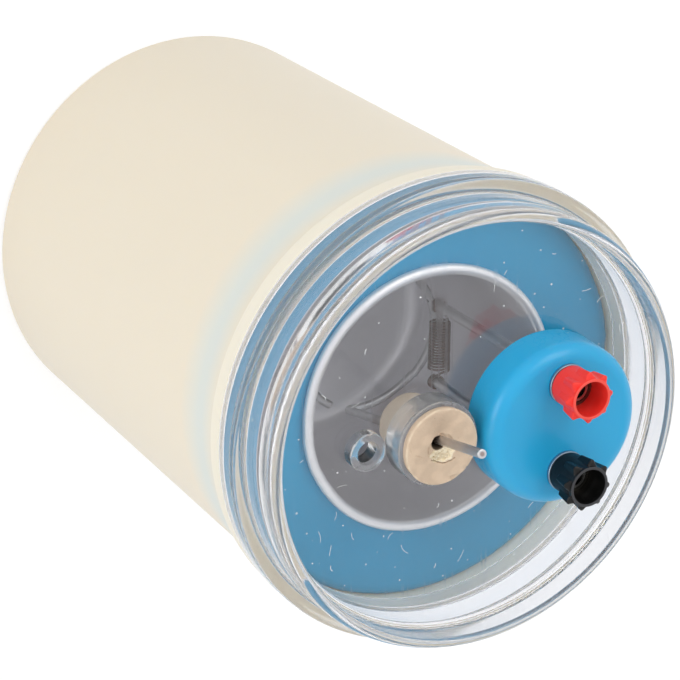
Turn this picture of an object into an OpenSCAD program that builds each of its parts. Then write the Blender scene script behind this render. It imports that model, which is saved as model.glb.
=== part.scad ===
// Electric calorimeter for the classroom, in millimetres.
// A tall insulating jar holds a thin collar just inside its mouth, and an aluminium cup hangs in the collar
// by its rolled rim. A clear stepped lid closes the jar. It carries a terminal head with two 4 mm socket
// terminals, whose rods reach down into the cup and hold the heater coil, a bung with a wire stirrer, and a
// small tubular port for a thermometer.
// The origin is the middle of the jar's foot. +Z is up, and +X points from the lid's middle to the terminals.

/* [Jar] */
// Height of the jar from its foot to the top of its lip
jar_h = 118; // [105:1:135]
// Outside diameter of the jar just above its foot
jar_base_d = 90; // [86:1:94]
// Distance from the edge of the lid's flange in to the jar's mouth
mouth_in = 3.7; // [3.3:0.1:4.5]
// Wall of the jar's body, below the collar's seat
jar_wall = 2.2; // [1.8:0.1:3]
// Wall of the jar beside the collar, above the seat
jar_mouth_wall = 1.3; // [1:0.1:1.6]
// Thickness of the jar's floor
jar_floor = 2.4; // [1.6:0.1:4]
// How far the lip stands out from the wall
lip_out = 2; // [1.2:0.1:2.4]
// Height of the lip, from the root of its flare to its top
lip_h = 7; // [6:0.5:10]
// Rounding of the foot's outer edge
foot_round = 1.8; // [1:0.1:3]
// Width of the ring that the jar stands on
foot_w = 6; // [4:0.5:10]
// Depth of the hollow inside that ring
foot_hollow = 0.9; // [0.4:0.1:1.4]

/* [Collar] */
// Depth of the collar's top below the jar's mouth
collar_drop = 6; // [5:0.5:9]
// Height of the collar
collar_h = 8; // [7:0.5:12]
// Wall of the collar's plate and skirts
collar_t = 1.8; // [1.4:0.1:2.4]
// Rounding of the collar's outer top edge
collar_round = 3; // [2.5:0.1:4]

/* [Cup] */
// Inside diameter of the cup
cup_d = 54.8; // [50:0.2:58]
// Depth inside the cup, from the top of its rim to its floor
cup_depth = 57.4; // [52:0.2:66]
// Thickness of the cup's sheet
cup_wall = 0.7; // [0.5:0.1:0.9]
// Inside radius between the cup's wall and floor
cup_corner = 4.5; // [3:0.5:7]
// Diameter of the rolled rim
bead_d = 2.4; // [2.2:0.1:3]

/* [Lid] */
// Outside diameter of the flange that rests on the jar's lip; the drum and the jar's mouth follow it
flange_d = 100; // [96:0.5:108]
// Height of the flange
flange_h = 6; // [4:0.5:8]
// Step from the flange's edge in to the drum above it
drum_step = 3; // [2:0.1:4]
// Wall of the drum below the window
drum_wall = 2.1; // [1.8:0.1:2.5]
// Height of the window's face above the jar's mouth
window_rise = 12; // [10:0.5:16]
// Thickness of the window
window_t = 2.2; // [1.6:0.1:3]
// Height of the rim above the window
rim_rise = 5.6; // [4:0.2:8]
// Width of the rim
rim_w = 3.6; // [3:0.2:5]
// Length of the spigot that enters the jar's mouth
spigot_l = 3.5; // [2.5:0.5:4.5]

/* [Bung and port] */
// Distance of the bung from the lid's middle
bung_x = 9.8; // [9.5:0.1:12]
// Diameter of the bung's top face
bung_top_d = 16.4; // [15.6:0.2:17]
// Diameter of the bung's lower end
bung_end_d = 12.4; // [11.6:0.2:13.6]
// Length of the bung
bung_l = 16; // [13:0.5:20]
// Outside diameter of the socket round the bung
bung_socket_d = 18.1; // [17.8:0.1:18.4]
// Height of that socket above the window
bung_socket_h = 5.4; // [2:0.1:6]
// Height of the bung's top above the window
bung_stand = 7; // [6.5:0.5:9]
// Distance of the thermometer port from the lid's middle
port_x = 24; // [23.6:0.2:28]
// Outside diameter of the port's tube
port_d = 8.2; // [7:0.1:9]
// Bore of the port
port_bore = 5; // [4:0.1:5.5]
// Height of the port's tube above the window
port_h = 2.6; // [1:0.1:5]

/* [Terminals] */
// Distance of the terminal head from the lid's middle
head_x = 16.9; // [16.6:0.1:18]
// Diameter of the terminal head
head_d = 34.4; // [32:0.2:34.6]
// Height of the terminal head
head_h = 10.2; // [8:0.2:14]
// Rounding of the head's top edge
head_round = 3.2; // [1:0.1:4]
// Distance between the two terminals
post_spacing = 19; // [18:0.1:19.4]
// Outside diameter of the threaded studs
stud_d = 5.8; // [5.4:0.1:6]
// Bore of the 4 mm sockets in the studs
socket_d = 4; // [4:0.01:4.1]
// Depth of the sockets
socket_l = 12; // [10:0.5:14]
// Depth of each stud's top below the mouth of its cap
socket_sunk = 5.8; // [5.2:0.1:6.4]
// Length of the caps
cap_h = 8.6; // [8.2:0.1:10]
// Diameter of a cap between its ribs
cap_d = 8.4; // [8.2:0.1:9]
// Bore of the caps
cap_bore = 7.4; // [7.2:0.1:7.6]
// Number of ribs round a cap
cap_ribs = 8; // [6:1:10]
// Distance from a cap's axis to the tips of its ribs, at the mouth
rib_tip = 5.4; // [4.9:0.05:5.6]
// Share of a cap's length, from its foot, that is plain below the ribs
rib_start = 0.4; // [0.2:0.05:0.6]
// Width of a rib at the mouth
rib_w = 1.9; // [1.4:0.1:2.2]
// Way that the red cap's first rib points, in degrees
red_rib_turn = 0; // [0:1:44]
// Way that the black cap's first rib points, in degrees
black_rib_turn = 33; // [0:1:44]
// Thickness of the seat washers under the caps
washer_t = 0.8; // [0.5:0.1:1.2]
// Diameter of those washers
washer_d = 8.8; // [8:0.2:10]
// Thickness of the lock washers under the lid
lock_t = 1; // [0.8:0.1:1.4]
// Height of the nuts
nut_h = 3.2; // [2.8:0.1:5]
// Width of the nuts across their flats
nut_af = 8; // [7.6:0.1:10]

/* [Heater] */
// Diameter of the heater rods
rod_d = 2.4; // [2:0.1:3]
// Depth of the rods' lower ends below the window's face
rod_reach = 45; // [40:0.5:48]
// How far the rods enter the studs
rod_grip = 4.5; // [3:0.5:5]
// Diameter of the resistance wire
coil_wire = 0.5; // [0.4:0.05:0.6]
// Outside diameter of the coil
coil_d = 5.1; // [4.5:0.1:6]
// Length of the coil between its end curls
coil_l = 12.35; // [11:0.05:12.6]
// Number of curls in the coil
coil_turns = 13; // [8:1:13]
// Number of curls of wire round each rod's end
wrap_turns = 2; // [1:1:3]

/* [Stirrer] */
// Diameter of the stirrer's wire
stir_wire = 1.9; // [1.5:0.1:2.2]
// Diameter of the stirrer's loop, on the middle of the wire
stir_loop_d = 35; // [30:0.5:36]
// Height of the loop below the window's face, at rest
stir_reach = 52; // [51:0.5:60]
// How far the wire stands above the bung, at rest
stir_stand = 20; // [16:1:40]
// Lean of the wire from upright, in degrees
stir_lean = 17.5; // [10:0.5:18.5]
// Way that the wire leans, in degrees from +X
stir_lean_way = 116; // [108:1:125]
// How far the wire's hole is off the bung's middle, just below its top
stir_off = 1.2; // [0:0.1:2]
// Bend radius between the wire's rod and its loop
stir_bend = 3.2; // [2.5:0.1:5]

/* [Hidden] */
$fn = 96;

// Clearances
slip = 0.05;       // a piece that turns or slides on another
guide_gap = 0.08;  // the stirrer's wire in the bung
press_gap = 0.05;  // a fixed piece in its bore
seat_gap = 0.1;    // the collar in the jar's mouth
lid_gap = 0.3;     // the lid's spigot in the jar's mouth
cup_gap = 0.35;    // the cup in the collar's hole
hole_gap = 0.1;    // a stud in the head and in the window

// Sides of the head that the two terminals stand on
RED = 1;
BLACK = -1;

// Levels and radii that several pieces share
flange_r = flange_d / 2;
drum_r = flange_r - drum_step;
mouth_r = flange_r - mouth_in;
neck_r = mouth_r + jar_mouth_wall;
lip_r = neck_r + lip_out;
collar_top = jar_h - collar_drop;
collar_z = collar_top - collar_h;
cup_r = cup_d / 2;
bead_r = bead_d / 2;
bead_z = collar_top + bead_r;
cup_floor_z = bead_z + bead_r - cup_depth;
flange_top = jar_h + flange_h;
window_z = jar_h + window_rise;
under_z = window_z - window_t;
rim_z = window_z + rim_rise;
head_top = window_z + head_h;
cap_z = head_top + washer_t + slip;
cap_top = cap_z + cap_h;
stud_top = cap_top - socket_sunk;
lock_z = under_z - lock_t;
nut_z = lock_z - nut_h;
rod_end_z = window_z - rod_reach;
stud_end_z = nut_z - 1.6;

// Places of the two terminals, from the side that each stands on
function post_x(side) = head_x;
function post_y(side) = side * post_spacing / 2;

// Points of an arc, from angle a0 to angle a1
function arc(x, y, r, a0, a1, n = 6) =
    [for (i = [0:n]) let(a = a0 + (a1 - a0) * i / n) [x + r * cos(a), y + r * sin(a)]];

function unit(v) = v / norm(v);

// Turns one outline, given as [radius, height] points, about Z
module lathe(outline) {
    rotate_extrude() polygon(outline);
}

module at_post(side) {
    translate([post_x(side), post_y(side), 0]) children();
}

// Jar

// Outside radius of the jar's tapered body at height z
body_top_z = jar_h - lip_h;
function jar_r(z) = jar_base_d / 2 + (neck_r - jar_base_d / 2) * z / body_top_z;

module outer_jar() {
    foot_in = jar_base_d / 2 - foot_w;
    flare = lip_h / 2;
    edge = 0.9;
    inner_low = jar_r(jar_floor) - jar_wall;
    inner_high = jar_r(collar_z) - jar_wall;
    corner = 3;
    color([0.93, 0.90, 0.83])
    lathe(concat(
        [[0, foot_hollow], [foot_in - foot_hollow, foot_hollow], [foot_in, 0]],
        arc(jar_base_d / 2 - foot_round, foot_round, foot_round, -90, 0),
        // The lip flares out in two matching curves
        [for (i = [0:8]) let(t = i / 8)
            [neck_r + (lip_out) * (1 - cos(180 * t)) / 2, body_top_z + flare * t]],
        arc(lip_r - edge, jar_h - edge, edge, 0, 90),
        arc(mouth_r + edge / 2, jar_h - edge / 2, edge / 2, 90, 180, 3),
        [[mouth_r, collar_z], [inner_high, collar_z]],
        arc(inner_low - corner, jar_floor + corner, corner, 0, -90),
        [[0, jar_floor]]
    ));
}

// Collar: a plate with an outer skirt that seats on the jar's ledge and an inner skirt that guides the cup

module cup_collar() {
    outer = mouth_r - seat_gap;
    inner = cup_r + cup_wall + cup_gap;
    lead = 0.15;
    color([0.29, 0.61, 0.80])
    lathe(concat(
        [[outer, collar_z]],
        arc(outer - collar_round, collar_top - collar_round, collar_round, 0, 90, 8),
        [[inner + lead, collar_top], [inner, collar_top - lead], [inner, collar_z],
         [inner + collar_t, collar_z], [inner + collar_t, collar_top - collar_t]],
        arc(outer - collar_round, collar_top - collar_round, collar_round - collar_t, 90, 0, 4),
        [[outer - collar_t, collar_z]]
    ));
}

// Cup: one sheet, with a rounded corner at its floor and a rim rolled outwards into a bead

module inner_cup() {
    curl_end = -100;
    bead_x = cup_r + bead_r;
    bottom_z = cup_floor_z - cup_wall;
    color([0.72, 0.73, 0.75])
    lathe(concat(
        [[0, cup_floor_z]],
        arc(cup_r - cup_corner, cup_floor_z + cup_corner, cup_corner, -90, 0),
        arc(bead_x, bead_z, bead_r, 180, curl_end, 14),
        arc(bead_x, bead_z, bead_r - cup_wall, curl_end, 180, 14),
        arc(cup_r - cup_corner, cup_floor_z + cup_corner, cup_corner + cup_wall, 0, -90),
        [[0, bottom_z]]
    ));
}

// Lid

// Radius of the bung at height z: its taper runs straight from end to end
bung_top_z = window_z + bung_stand;
bung_end_z = bung_top_z - bung_l;
function bung_r(z) = (bung_end_d + (bung_top_d - bung_end_d) * (z - bung_end_z) / bung_l) / 2;

module lid_shell() {
    spigot_r = mouth_r - lid_gap;
    spigot_z = jar_h - spigot_l;
    rim_in = drum_r - rim_w;
    drum_in = drum_r - drum_wall;
    low_round = 0.7;
    flange_round = 1.3;
    fillet = 0.8;
    rim_round = 2.2;
    rim_inner_round = 1.2;
    under_round = 1.5;
    lathe(concat(
        [[spigot_r - low_round, spigot_z], [spigot_r, spigot_z + low_round], [spigot_r, jar_h]],
        arc(flange_r - low_round, jar_h + low_round, low_round, -90, 0, 4),
        arc(flange_r - flange_round, flange_top - flange_round, flange_round, 0, 90, 5),
        arc(drum_r + fillet, flange_top + fillet, fillet, 270, 180, 4),
        arc(drum_r - rim_round, rim_z - rim_round, rim_round, 0, 90, 7),
        arc(rim_in + rim_inner_round, rim_z - rim_inner_round, rim_inner_round, 90, 180, 5),
        arc(rim_in - fillet, window_z + fillet, fillet, 0, -90, 4),
        [[0, window_z], [0, under_z]],
        arc(drum_in - under_round, under_z - under_round, under_round, 90, 0, 5),
        [[drum_in, spigot_z]]
    ));
}

// A short tube standing on the window, with a rounded top edge
module window_tube(x, d, h, bore) {
    edge = min(0.5, (d - bore) / 4);
    translate([-x, 0, window_z - window_t / 2])
        lathe(concat(
            [[bore / 2 - 0.2, 0], [d / 2, 0]],
            arc(d / 2 - edge, window_t / 2 + h - edge, edge, 0, 90, 4),
            [[bore / 2 - 0.2, window_t / 2 + h]]
        ));
}

module lid() {
    socket_top = window_z + bung_socket_h;
    bottom = under_z - 1;
    color([0.86, 0.90, 0.94, 0.35])
    difference() {
        union() {
            lid_shell();
            window_tube(bung_x, bung_socket_d, bung_socket_h, 2 * bung_r(under_z));
            window_tube(port_x, port_d, port_h, port_bore);
        }
        // The socket's bore has the bung's own taper
        translate([-bung_x, 0, bottom])
            cylinder(r1 = bung_r(bottom) + press_gap, r2 = bung_r(socket_top + 1) + press_gap,
                     h = socket_top + 1 - bottom);
        translate([-port_x, 0, bottom]) cylinder(d = port_bore, h = window_z + port_h - bottom + 1);
        for (side = [RED, BLACK])
            at_post(side) translate([0, 0, bottom]) cylinder(d = stud_d + 2 * hole_gap, h = window_t + 2);
    }
}

// Stirrer wire: a leaning rod that slides in the bung, a bend, and an open loop that lies level in the cup

stir_axis = [sin(stir_lean) * cos(stir_lean_way), sin(stir_lean) * sin(stir_lean_way), cos(stir_lean)];
// Where the wire passes just below the bung's top face
guide = [-bung_x, stir_off, bung_top_z - 1];
loop_z = window_z - stir_reach;
loop_r = stir_loop_d / 2;
// Corner where the rod's line meets the level of the loop
corner = guide + stir_axis * (loop_z - guide[2]) / stir_axis[2];
// The loop starts square to the line from the cup's axis to that corner
loop_start = atan2(corner[1], corner[0]);
tangent = [-sin(loop_start), cos(loop_start), 0];
bend_turn = acos(-stir_axis * tangent);
bend_set = stir_bend * tan(bend_turn / 2);
bend_low = corner + stir_axis * bend_set;
arc_start = corner + tangent * bend_set;
loop_mid = arc_start - loop_r * [cos(loop_start), sin(loop_start), 0];
loop_sweep = 335;

// Puts the drawing's x, y and z directions along three given unit vectors, at a given point
module placed(p, ex, ey, ez) {
    multmatrix([
        [ex[0], ey[0], ez[0], p[0]],
        [ex[1], ey[1], ez[1], p[1]],
        [ex[2], ey[2], ez[2], p[2]],
        [0, 0, 0, 1]
    ]) children();
}

// A round bar on the stirrer's line, turned so that its seam meets no other edge
module along_stir(p, length, d) {
    translate(p) rotate([0, stir_lean, stir_lean_way]) rotate([0, 0, 40])
        cylinder(d = d, h = length);
}

// Three runs of wire, with a bead a hair larger than the wire over each of the two joins
module stirrer() {
    set_back = 0.06;
    bead_over = 0.04;
    out_way = unit(tangent - (tangent * stir_axis) * stir_axis);
    square = cross(-out_way, -stir_axis);
    skip = set_back / stir_bend * 180 / PI;
    top = guide + stir_axis * (1 + stir_stand) / stir_axis[2];
    start = bend_low + stir_axis * set_back;
    loop_end = loop_start + loop_sweep;
    color([0.74, 0.74, 0.73]) {
        along_stir(start, norm(top - start), stir_wire);
        translate(top) sphere(d = stir_wire + bead_over);
        translate(bend_low) sphere(d = stir_wire + bead_over);
        placed(bend_low + out_way * stir_bend, -out_way, -stir_axis, square)
            rotate([0, 0, skip]) rotate_extrude(angle = bend_turn - 2 * skip)
                translate([stir_bend, 0]) circle(d = stir_wire, $fn = 48);
        translate(arc_start) rotate([0, 0, loop_start]) sphere(d = stir_wire + bead_over);
        translate(loop_mid) rotate([0, 0, loop_start + 0.2]) rotate_extrude(angle = loop_sweep - 0.2)
            translate([loop_r, 0]) circle(d = stir_wire, $fn = 48);
        translate(loop_mid) rotate([0, 0, loop_end])
            translate([loop_r, 0, 0]) sphere(d = stir_wire + bead_over);
    }
}

module bung() {
    edge = 0.6;
    color([0.84, 0.74, 0.61])
    difference() {
        translate([-bung_x, 0, 0])
            lathe(concat(
                [[0, bung_end_z], [bung_r(bung_end_z) - edge, bung_end_z],
                 [bung_r(bung_end_z + edge), bung_end_z + edge]],
                arc(bung_r(bung_top_z - edge) - edge, bung_top_z - edge, edge, 0, 90, 4),
                [[0, bung_top_z]]
            ));
        along_stir(guide - stir_axis * bung_l * 1.3, bung_l * 1.5, stir_wire + 2 * guide_gap);
    }
}

// Terminals

module terminal_head() {
    chamfer = 0.4;
    r = head_d / 2;
    color([0.26, 0.67, 0.86])
    difference() {
        translate([head_x, 0, 0])
            lathe(concat(
                [[0, window_z], [r - chamfer, window_z], [r, window_z + chamfer]],
                arc(r - head_round, head_top - head_round, head_round, 0, 90, 8),
                [[0, head_top]]
            ));
        for (side = [RED, BLACK])
            at_post(side) translate([0, 0, window_z - 1])
                cylinder(d = stud_d + 2 * hole_gap, h = head_h + 2);
    }
}

// Stud: threaded through head and window, a socket in its top and a bore for the heater rod below
module stud(side) {
    lead = 0.3;
    color([0.80, 0.79, 0.75])
    difference() {
        at_post(side)
            lathe([
                [0, stud_end_z], [stud_d / 2 - lead, stud_end_z], [stud_d / 2, stud_end_z + lead],
                [stud_d / 2, stud_top - lead], [stud_d / 2 - lead, stud_top], [0, stud_top]
            ]);
        at_post(side) translate([0, 0, stud_top - socket_l]) cylinder(d = socket_d, h = socket_l + 1);
        at_post(side) translate([0, 0, stud_end_z - 1]) cylinder(d = rod_d + 2 * press_gap, h = rod_grip + 1);
    }
}

module seat_washer(side) {
    color([0.85, 0.85, 0.84])
    at_post(side) translate([0, 0, head_top]) difference() {
        cylinder(d = washer_d, h = washer_t);
        translate([0, 0, -1]) cylinder(d = stud_d + 2 * hole_gap, h = washer_t + 2);
    }
}

bush_h = stud_top - cap_z - 0.3;
bush_d = cap_bore - 2 * slip;

// Cap: a sleeve, plain at its foot, with blunt wedge ribs that grow towards its open mouth
module cap(side, shade) {
    root = cap_d / 2 - 0.3;
    low = cap_h * rib_start;
    reach = rib_tip - root;
    grow = 2.6;
    blunt = 0.2;
    color(shade)
    at_post(side) translate([0, 0, cap_z]) difference() {
        union() {
            lathe([[0, 0], [cap_d / 2 - 0.3, 0], [cap_d / 2, 0.3], [cap_d / 2, cap_h - 0.2],
                   [cap_d / 2 - 0.2, cap_h], [0, cap_h]]);
            for (i = [0:cap_ribs - 1])
                rotate([0, 0, (side == RED ? red_rib_turn : black_rib_turn) + i * 360 / cap_ribs])
                    translate([root, 0, low])
                        linear_extrude(height = cap_h - 0.5 - low, scale = grow)
                            polygon([[0, -rib_w / 2], [reach - blunt, -blunt], [reach, 0],
                                     [reach - blunt, blunt], [0, rib_w / 2]] / grow);
        }
        translate([0, 0, -1]) cylinder(d = cap_bore, h = cap_h + 2);
    }
}

// Threaded bush that the cap turns on the stud with
module cap_bush(side) {
    color([0.83, 0.72, 0.42])
    at_post(side) translate([0, 0, cap_z]) difference() {
        cylinder(d = bush_d, h = bush_h);
        translate([0, 0, -1]) cylinder(d = stud_d + 2 * slip, h = bush_h + 2);
    }
}

// Split spring washer between the nut and the window
module lock_washer(side) {
    split_w = 0.8;
    lock_d = stud_d + 3.6;
    color([0.66, 0.67, 0.69])
    at_post(side) translate([0, 0, lock_z]) difference() {
        cylinder(d = lock_d, h = lock_t);
        translate([0, 0, -1]) cylinder(d = stud_d + 2 * hole_gap, h = lock_t + 2);
        translate([0, -split_w / 2, -1]) cube([lock_d, split_w, lock_t + 2]);
    }
}

module nut(side) {
    corner_r = nut_af / 2 / cos(30);
    cut = 0.5;
    color([0.78, 0.76, 0.70])
    at_post(side) translate([0, 0, nut_z]) difference() {
        intersection() {
            cylinder(r = corner_r, h = nut_h, $fn = 6);
            lathe([[0, 0], [corner_r - cut, 0], [corner_r, cut], [corner_r, nut_h - cut],
                   [corner_r - cut, nut_h], [0, nut_h]]);
        }
        translate([0, 0, -1]) cylinder(d = stud_d + 2 * press_gap, h = nut_h + 2);
    }
}

// Heater

module heater_rod(side) {
    tip = 0.3;
    top = stud_end_z + rod_grip - press_gap;
    color([0.63, 0.63, 0.64])
    at_post(side) lathe([
        [0, rod_end_z], [rod_d / 2 - tip, rod_end_z], [rod_d / 2, rod_end_z + tip],
        [rod_d / 2, top], [0, top]
    ]);
}

// Heater coil: one wire, wound round one rod's end, across to the other rod as a coil, and round that end

curl_rings = 8;
wire_sides = 6;
least_gap = 0.42;
coil_r = (coil_d - coil_wire) / 2;
// Rings stand on corners of an octagon, so the wire keeps clear of the rod half-way between two of them
wrap_r = (rod_d / 2 + coil_wire / 2 + press_gap) / cos(180 / curl_rings);
wrap_pitch = coil_wire + least_gap + 0.03;
wrap_low_z = rod_end_z + coil_wire / 2 + 0.2;
coil_z = wrap_low_z + wrap_turns * wrap_pitch;
lead_steps = 6;

// Half of the wire, for the red side: a curl round the rod that climbs to the coil's level
wrap_half = [for (i = [0:wrap_turns * curl_rings])
    let(a = -90 + 360 * (i / curl_rings - wrap_turns))
    [head_x + wrap_r * cos(a), post_spacing / 2 + wrap_r * sin(a),
     wrap_low_z + wrap_pitch * i / curl_rings]];
wrap_end = wrap_half[len(wrap_half) - 1];

// A smooth way between two points with given directions, without its end points
function bridge(p, pd, q, qd, n) = [for (i = [1:n - 1]) let(t = i / n)
    (2 * t * t * t - 3 * t * t + 1) * p + (t * t * t - 2 * t * t + t) * pd
    + (3 * t * t - 2 * t * t * t) * q + (t * t * t - t * t) * qd];

// Coil point after a given number of curls, counted from the coil's middle. The first one is on top.
coil_side = -cos(180 * coil_turns);
function coil_at(turn) = [head_x + coil_side * coil_r * sin(360 * turn), -coil_l * turn / coil_turns,
    coil_z - coil_side * coil_r * cos(360 * turn)];
coil_half = [for (i = [-coil_turns * curl_rings / 2:0]) coil_at(i / curl_rings)];
coil_first = coil_half[0];
coil_dir = unit(coil_half[1] - coil_half[0]);
lead_pull = 4.4;
half = concat(wrap_half,
    bridge(wrap_end, [lead_pull, 0, 0], coil_first, lead_pull * coil_dir, lead_steps), coil_half);
// The other half is the first one turned half a turn about the upright line midway between the rods
coil_path = concat(half, [for (i = [len(half) - 2:-1:0])
    [2 * head_x - half[i][0], -half[i][1], half[i][2]]]);

function steer(path) = [for (i = [0:len(path) - 1])
    unit(path[min(i + 1, len(path) - 1)] - path[max(i - 1, 0)])];

// Cross directions that turn as little as they can from ring to ring
function square_to(v, t) = unit(v - (v * t) * t);
function frames(t) = [for (i = 0, n = square_to([0, 0.1, 1], t[0]); i < len(t);
    i = i + 1, n = i < len(t) ? square_to(n, t[i]) : n) n];

module swept_wire(path, d, sides) {
    t = steer(path);
    n = frames(t);
    last = len(path) - 1;
    points = [for (i = [0:last]) let(b = cross(t[i], n[i])) for (k = [0:sides - 1])
        path[i] + d / 2 * (cos(360 * k / sides) * n[i] + sin(360 * k / sides) * b)];
    walls = [for (i = [0:last - 1], k = [0:sides - 1]) let(
        a = i * sides + k, b = i * sides + (k + 1) % sides, c = b + sides, e = a + sides)
        each [[a, c, b], [a, e, c]]];
    start = [for (k = [1:sides - 2]) [0, k, k + 1]];
    end = [for (k = [1:sides - 2]) [last * sides, last * sides + k + 1, last * sides + k]];
    polyhedron(points, concat(walls, start, end), convexity = 10);
}

// Least gap of the wire to itself, between rings that are more than half a curl apart
coil_gap = min([for (i = [0:len(coil_path) - 1], j = [i + curl_rings / 2 + 1:len(coil_path) - 1])
    norm(coil_path[i] - coil_path[j])]) - coil_wire;
echo(heater_coil_least_gap = coil_gap);

module heater_coil() {
    color([0.42, 0.33, 0.32]) swept_wire(coil_path, coil_wire, wire_sides);
}

outer_jar();
cup_collar();
inner_cup();
lid();
bung();
stirrer();
terminal_head();
stud(RED);  // red_stud
stud(BLACK);  // black_stud
seat_washer(RED);  // red_seat_washer
seat_washer(BLACK);  // black_seat_washer
cap(RED, [0.90, 0.20, 0.18]);  // red_cap
cap(BLACK, [0.08, 0.08, 0.10]);  // black_cap
cap_bush(RED);  // red_cap_bush
cap_bush(BLACK);  // black_cap_bush
lock_washer(RED);  // red_lock_washer
lock_washer(BLACK);  // black_lock_washer
nut(RED);  // red_nut
nut(BLACK);  // black_nut
heater_rod(RED);  // red_heater_rod
heater_rod(BLACK);  // black_heater_rod
heater_coil();
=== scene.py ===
# %% [markdown]
# # An electric calorimeter, dressed for the camera
#
# A cream plastic jar keeps warmth in. An aluminium cup hangs in a thin blue collar just inside its mouth. A clear
# stepped lid closes the jar and carries a blue terminal head with a small heater, a bung with a wire stirrer, and a
# tubular port for a thermometer.
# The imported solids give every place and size. This script puts smooth, detailed pieces over them, gives each one a
# finish made of nodes, and sets up plain studio light and the camera.

import bpy
import numpy as np
from mathutils import Matrix


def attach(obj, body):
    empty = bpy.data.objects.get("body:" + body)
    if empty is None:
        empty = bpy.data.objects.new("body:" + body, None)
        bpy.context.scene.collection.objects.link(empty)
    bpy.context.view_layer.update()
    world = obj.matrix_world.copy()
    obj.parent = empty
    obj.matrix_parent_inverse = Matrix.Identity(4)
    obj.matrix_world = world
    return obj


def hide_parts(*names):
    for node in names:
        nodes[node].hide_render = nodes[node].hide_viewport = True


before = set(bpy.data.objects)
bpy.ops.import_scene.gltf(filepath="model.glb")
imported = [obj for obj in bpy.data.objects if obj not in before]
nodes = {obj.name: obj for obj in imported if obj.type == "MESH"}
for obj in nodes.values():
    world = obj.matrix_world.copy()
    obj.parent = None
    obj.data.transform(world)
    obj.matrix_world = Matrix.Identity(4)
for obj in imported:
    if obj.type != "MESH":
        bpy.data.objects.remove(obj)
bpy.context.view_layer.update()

# %% [markdown]
# ## Sizes
#
# These are the maker's sizes of the real thing, in millimetres, the same as in the solids. Blender works in metres,
# so each piece is worked out in millimetres and scaled once, when its mesh is made. Heights are measured from the
# surface that the jar stands on.

# %% Sizes that several pieces share
MM = 0.001
TAU = 2 * np.pi
JAR_TOP = 118.0
MOUTH_R = 46.3
COLLAR_TOP = 112.0
COLLAR_LOW = 104.0
CUP_R = 27.4
CUP_SHEET = 0.7
BEAD_R = 1.2
BEAD_Z = COLLAR_TOP + BEAD_R
CUP_FLOOR = BEAD_Z + BEAD_R - 57.4
WINDOW_Z = 130.0
WINDOW_T = 2.2
UNDER_Z = WINDOW_Z - WINDOW_T
BUNG_X = -9.8
BUNG_TOP = WINDOW_Z + 7.0
BUNG_H = 16.0
BUNG_LOW_R = 6.2
BUNG_END = BUNG_TOP - BUNG_H
PORT_X = -24.0
HEAD_X = 16.9
HEAD_TOP = WINDOW_Z + 10.2
POST_Y = 9.5
STUD_R = 2.9
CAP_Z = HEAD_TOP + 0.85
CAP_H = 8.6
STUD_TOP = CAP_Z + CAP_H - 5.8
LOCK_Z = UNDER_Z - 1.0
NUT_Z = LOCK_Z - 3.2
STUD_END = NUT_Z - 1.6
ROD_END = WINDOW_Z - 45.0
LOOP_Z = WINDOW_Z - 52.0
print("cup floor at", round(CUP_FLOOR, 2), "mm, stud top at", round(STUD_TOP, 2), "mm")

# %% [markdown]
# ## The camera
#
# The picture was taken with a long lens from above the lid, with the jar lying across the frame. Three fitted angles
# say how the jar's axis and its side direction lie for the camera, and one vector says where the jar's foot is. The
# lens's length is fitted too, counted in the picture's pixels. The camera's own directions are then read off as rows
# of that turning matrix.

# %% Place the camera
LENS_PX = 3607.0
FRAME_PX = 680.0
SENSOR = 36.0
LEAN, SWING, SPIN = 0.625, 0.6129, np.radians(131.0)
FOOT = np.array([-36.71, -26.70, 828.65])


def photo_axes(lean, swing, spin):
    """The jar's x, y and z directions in camera space (right, down, away), as the columns of a matrix.

    z leans by `lean` from the line of sight, towards the direction `swing`; x and y are turned about z by `spin`."""
    up = np.array([np.sin(lean) * np.cos(swing), np.sin(lean) * np.sin(swing), -np.cos(lean)])
    side = np.array([-np.sin(swing), np.cos(swing), 0.0])
    back = np.array([np.cos(lean) * np.cos(swing), np.cos(lean) * np.sin(swing), np.sin(lean)])
    x = np.cos(spin) * side + np.sin(spin) * back
    y = -np.sin(spin) * side + np.cos(spin) * back
    return np.stack([x, y, up], axis=1)


axes = photo_axes(LEAN, SWING, SPIN)
camera = bpy.data.objects.new("camera", bpy.data.cameras.new("camera"))
bpy.context.scene.collection.objects.link(camera)
bpy.context.scene.camera = camera
camera.data.sensor_width = SENSOR
camera.data.lens = LENS_PX / FRAME_PX * SENSOR
place = np.eye(4)
place[:3, 0] = axes[0]
place[:3, 1] = -axes[1]
place[:3, 2] = -axes[2]
place[:3, 3] = -(FOOT @ axes) * MM
camera.matrix_world = Matrix(place.tolist())
camera.data.clip_start = 0.05
camera.data.clip_end = 20.0
print("lens", round(camera.data.lens, 1), "mm, camera at", [round(float(v), 3) for v in place[:3, 3]])

# %% [markdown]
# ## Shape tools
#
# Nearly every piece of a calorimeter is turned or moulded round an axis, so one tool does most of the work: an
# outline in radius and height, with its corners rounded, is carried round a circle as a grid of points. A second
# tool carries a circle along a path, for wires and rods. Both work on whole arrays.

# %% Small sums on rows of points


def unit(v):
    """A direction, or rows of directions, made one long."""
    return v / np.linalg.norm(v, axis=-1, keepdims=True)


def run(count, *ends):
    """Evenly spaced rows: each column goes from its first value to its last, or keeps its one value."""
    return np.column_stack([np.linspace(*np.broadcast_to(end, 2), count) for end in ends])


def arc(x, z, r, angle):
    """Points at the given angles on a circle of radius r round (x, z)."""
    return np.column_stack([x + r * np.cos(angle), z + r * np.sin(angle)])


# %% Grids into meshes


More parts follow.
